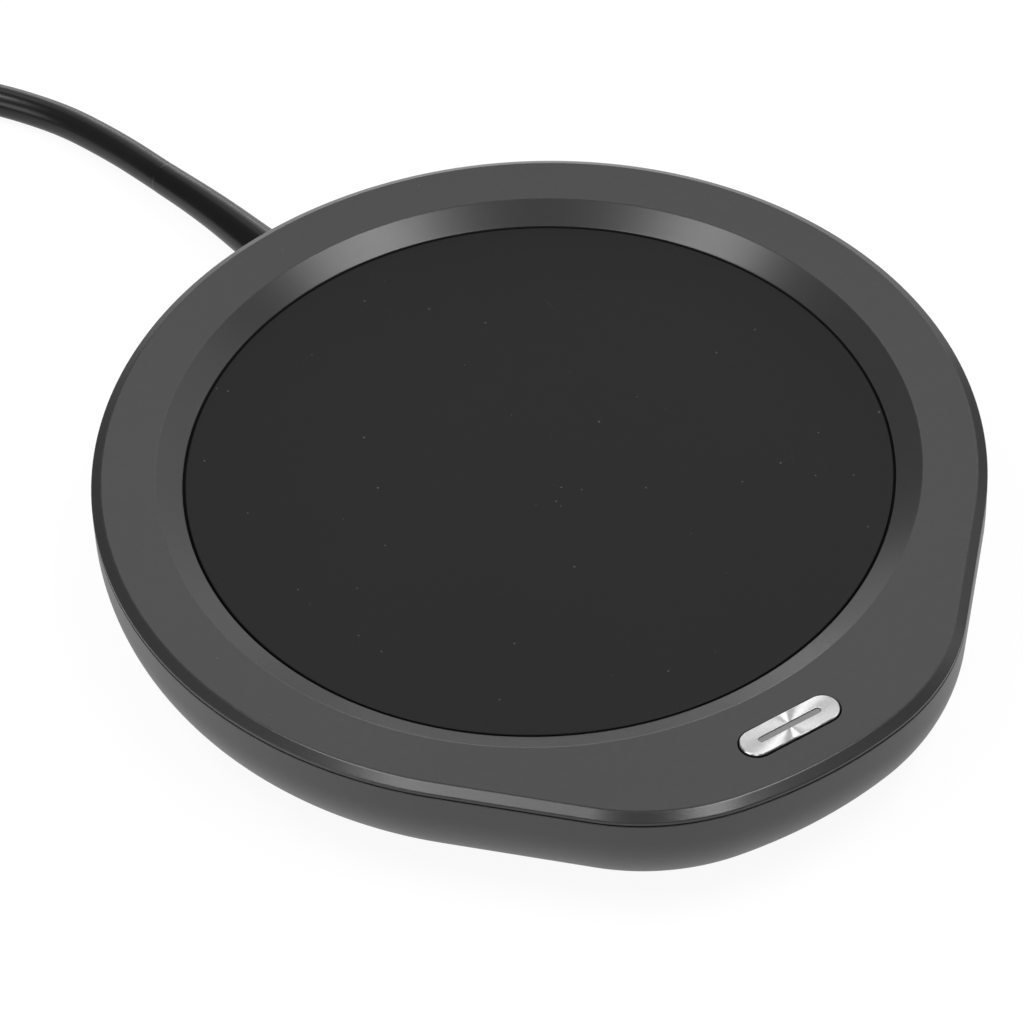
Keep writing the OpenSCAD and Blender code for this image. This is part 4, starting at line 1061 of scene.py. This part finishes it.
finish_nodes(["filter_capacitor"], "can_sleeve", (0.02, 0.035, 0.075), 0.28, grain=1800.0, depth=0.000008)
finish_nodes(
    ["triac", "bridge_rectifier", "control_chip", "switch_base"],
    "component_epoxy", (0.012, 0.012, 0.012), 0.5, grain=3000.0, depth=0.00001)
finish_nodes(["line_fuse"], "fuse_sleeve", (0.2, 0.07, 0.025), 0.4, grain=2500.0, depth=0.00001)
finish_nodes(["terminal_blocks", "cord_clamp"], "block_nylon", (0.8, 0.78, 0.72), 0.45, grain=2200.0, depth=0.00001)
finish_nodes(["heater_leads"], "lead_red", (0.42, 0.03, 0.02), 0.35, grain=2500.0, depth=0.00001)
finish_nodes(["sensor_leads"], "lead_grey", (0.25, 0.25, 0.25), 0.35, grain=2500.0, depth=0.00001)
finish_nodes(["mains_leads"], "lead_brown", (0.13, 0.06, 0.03), 0.35, grain=2500.0, depth=0.00001)
finish_nodes(["button_harness"], "ribbon_white", (0.66, 0.64, 0.6), 0.45, grain=1500.0, depth=0.00002)
finish_nodes(["status_leds"], "led_lens", (0.85, 0.84, 0.72), 0.2, grain=2500.0, depth=0.000004, dust=0.0)
finish_nodes(
    ["switch_plunger", "button_carrier"], "plunger_plastic", (0.018, 0.018, 0.02), 0.4, grain=2600.0, depth=0.00001)

# ---- Floor, world and lamps

FLOOR_SIZE = 3.0
FLOOR_DROP = 0.05
FLOOR_GLOW = 1.09
SHADOW_SHARE = 0.15
GLOSS_SHADOW_SHARE = 0.55
ROOM_GLOW = 0.12


def make_floor():
    """White paper: it glows for the rays that see it, from the camera, through glass and off gloss, with a share left
    to the lamps, where the shadow shows. Gloss sees more of that share, as under the body's overhang."""
    half = FLOOR_SIZE / 2
    mesh = bpy.data.meshes.new("floor")
    mesh.from_pydata([(-half, -half, 0), (half, -half, 0), (half, half, 0), (-half, half, 0)], [], [(0, 1, 2, 3)])
    floor = placed("floor", mesh)
    floor.location.z = -FLOOR_DROP * MM
    material = bpy.data.materials.new("paper")
    material.use_nodes = True
    tree = material.node_tree
    tree.nodes.clear()
    paper = add(tree, "BsdfDiffuse", {"Color": grey(0.8)})
    white = add(tree, "Emission", {"Color": grey(1.0), "Strength": FLOOR_GLOW})
    path = add(tree, "LightPath")
    direct = maths(tree, "MAXIMUM", path.outputs["Is Camera Ray"], path.outputs["Is Transmission Ray"])
    share = maths(tree, "MAXIMUM", maths(tree, "MULTIPLY", direct, 1 - SHADOW_SHARE),
                  maths(tree, "MULTIPLY", path.outputs["Is Glossy Ray"], 1 - GLOSS_SHADOW_SHARE))
    mix = add(tree, "MixShader", {0: share, 1: paper.outputs[0], 2: white.outputs[0]})
    add(tree, "OutputMaterial", {"Surface": mix.outputs[0]})
    mesh.materials.append(material)


def make_world():
    """A dim room that the camera and clear pieces see as white."""
    world = bpy.data.worlds.new("room")
    bpy.context.scene.world = world
    world.use_nodes = True
    tree = world.node_tree
    tree.nodes.clear()
    path = add(tree, "LightPath")
    seen = maths(tree, "MAXIMUM", path.outputs["Is Camera Ray"], path.outputs["Is Transmission Ray"])
    dim = add(tree, "Background", {"Color": grey(1.0), "Strength": ROOM_GLOW})
    white = add(tree, "Background", {"Color": grey(1.0), "Strength": 1.0})
    mix = add(tree, "MixShader", {0: seen, 1: dim.outputs[0], 2: white.outputs[0]})
    add(tree, "OutputWorld", {"Surface": mix.outputs[0]})


def make_lamp(name, place, faces, along, size, radiance):
    """A soft box of even radiance. place, faces and along (its long side) are (right, away, up) as the camera sees
    them, in metres from the middle of the plate."""
    data = bpy.data.lights.new(name, "AREA")
    data.shape = "RECTANGLE"
    data.size, data.size_y = size
    data.energy = radiance * math.pi * size[0] * size[1]
    lamp = placed(name, data)
    turn = Matrix.Rotation(EYE_AZIMUTH, 3, "Z")
    back = -(turn @ Vector(faces)).normalized()
    side = (turn @ Vector(along)).cross(back).normalized()
    axes = Matrix((side, back.cross(side), back)).transposed().to_4x4()
    lamp.matrix_world = Matrix.Translation(turn @ Vector(place) + Vector(AXIS + [0, 0, PLATE_TOP]) * MM) @ axes


DOWN = (0, 0, -1)
make_floor()
make_world()
make_lamp("ceiling_right", (0.35, -0.17, 1.0), DOWN, (0.22, 1, 0), (0.24, 0.66), 8.6)
make_lamp("ceiling_left", (-0.40, -0.17, 1.0), DOWN, (-0.18, 1, 0), (0.24, 0.66), 7.4)
make_lamp("back_high", (0.0, 0.82, 0.92), (0, -0.82, -0.92), (1, 0, 0), (0.45, 0.75), 1.15)
make_lamp("back_right", (0.85, 0.75, 0.85), (-0.85, -0.75, -0.85), (0.7, -0.7, 0), (0.7, 0.95), 0.95)
make_lamp("back_low", (0.15, 1.3, 0.34), (0, -1, -0.25), (1, 0, 0), (0.6, 1.5), 0.85)
make_lamp("left_front", (-0.99, -0.70, 0.48), (0.99, 0.70, -0.48), (0.70, -0.99, 0), (0.45, 0.75), 2.5)
make_lamp("horizon", (-0.05, 1.28, 0.13), (0, -1, -0.1), (1, 0, 0), (0.16, 0.5), 3.2)

bpy.context.scene.view_settings.view_transform = "Standard"
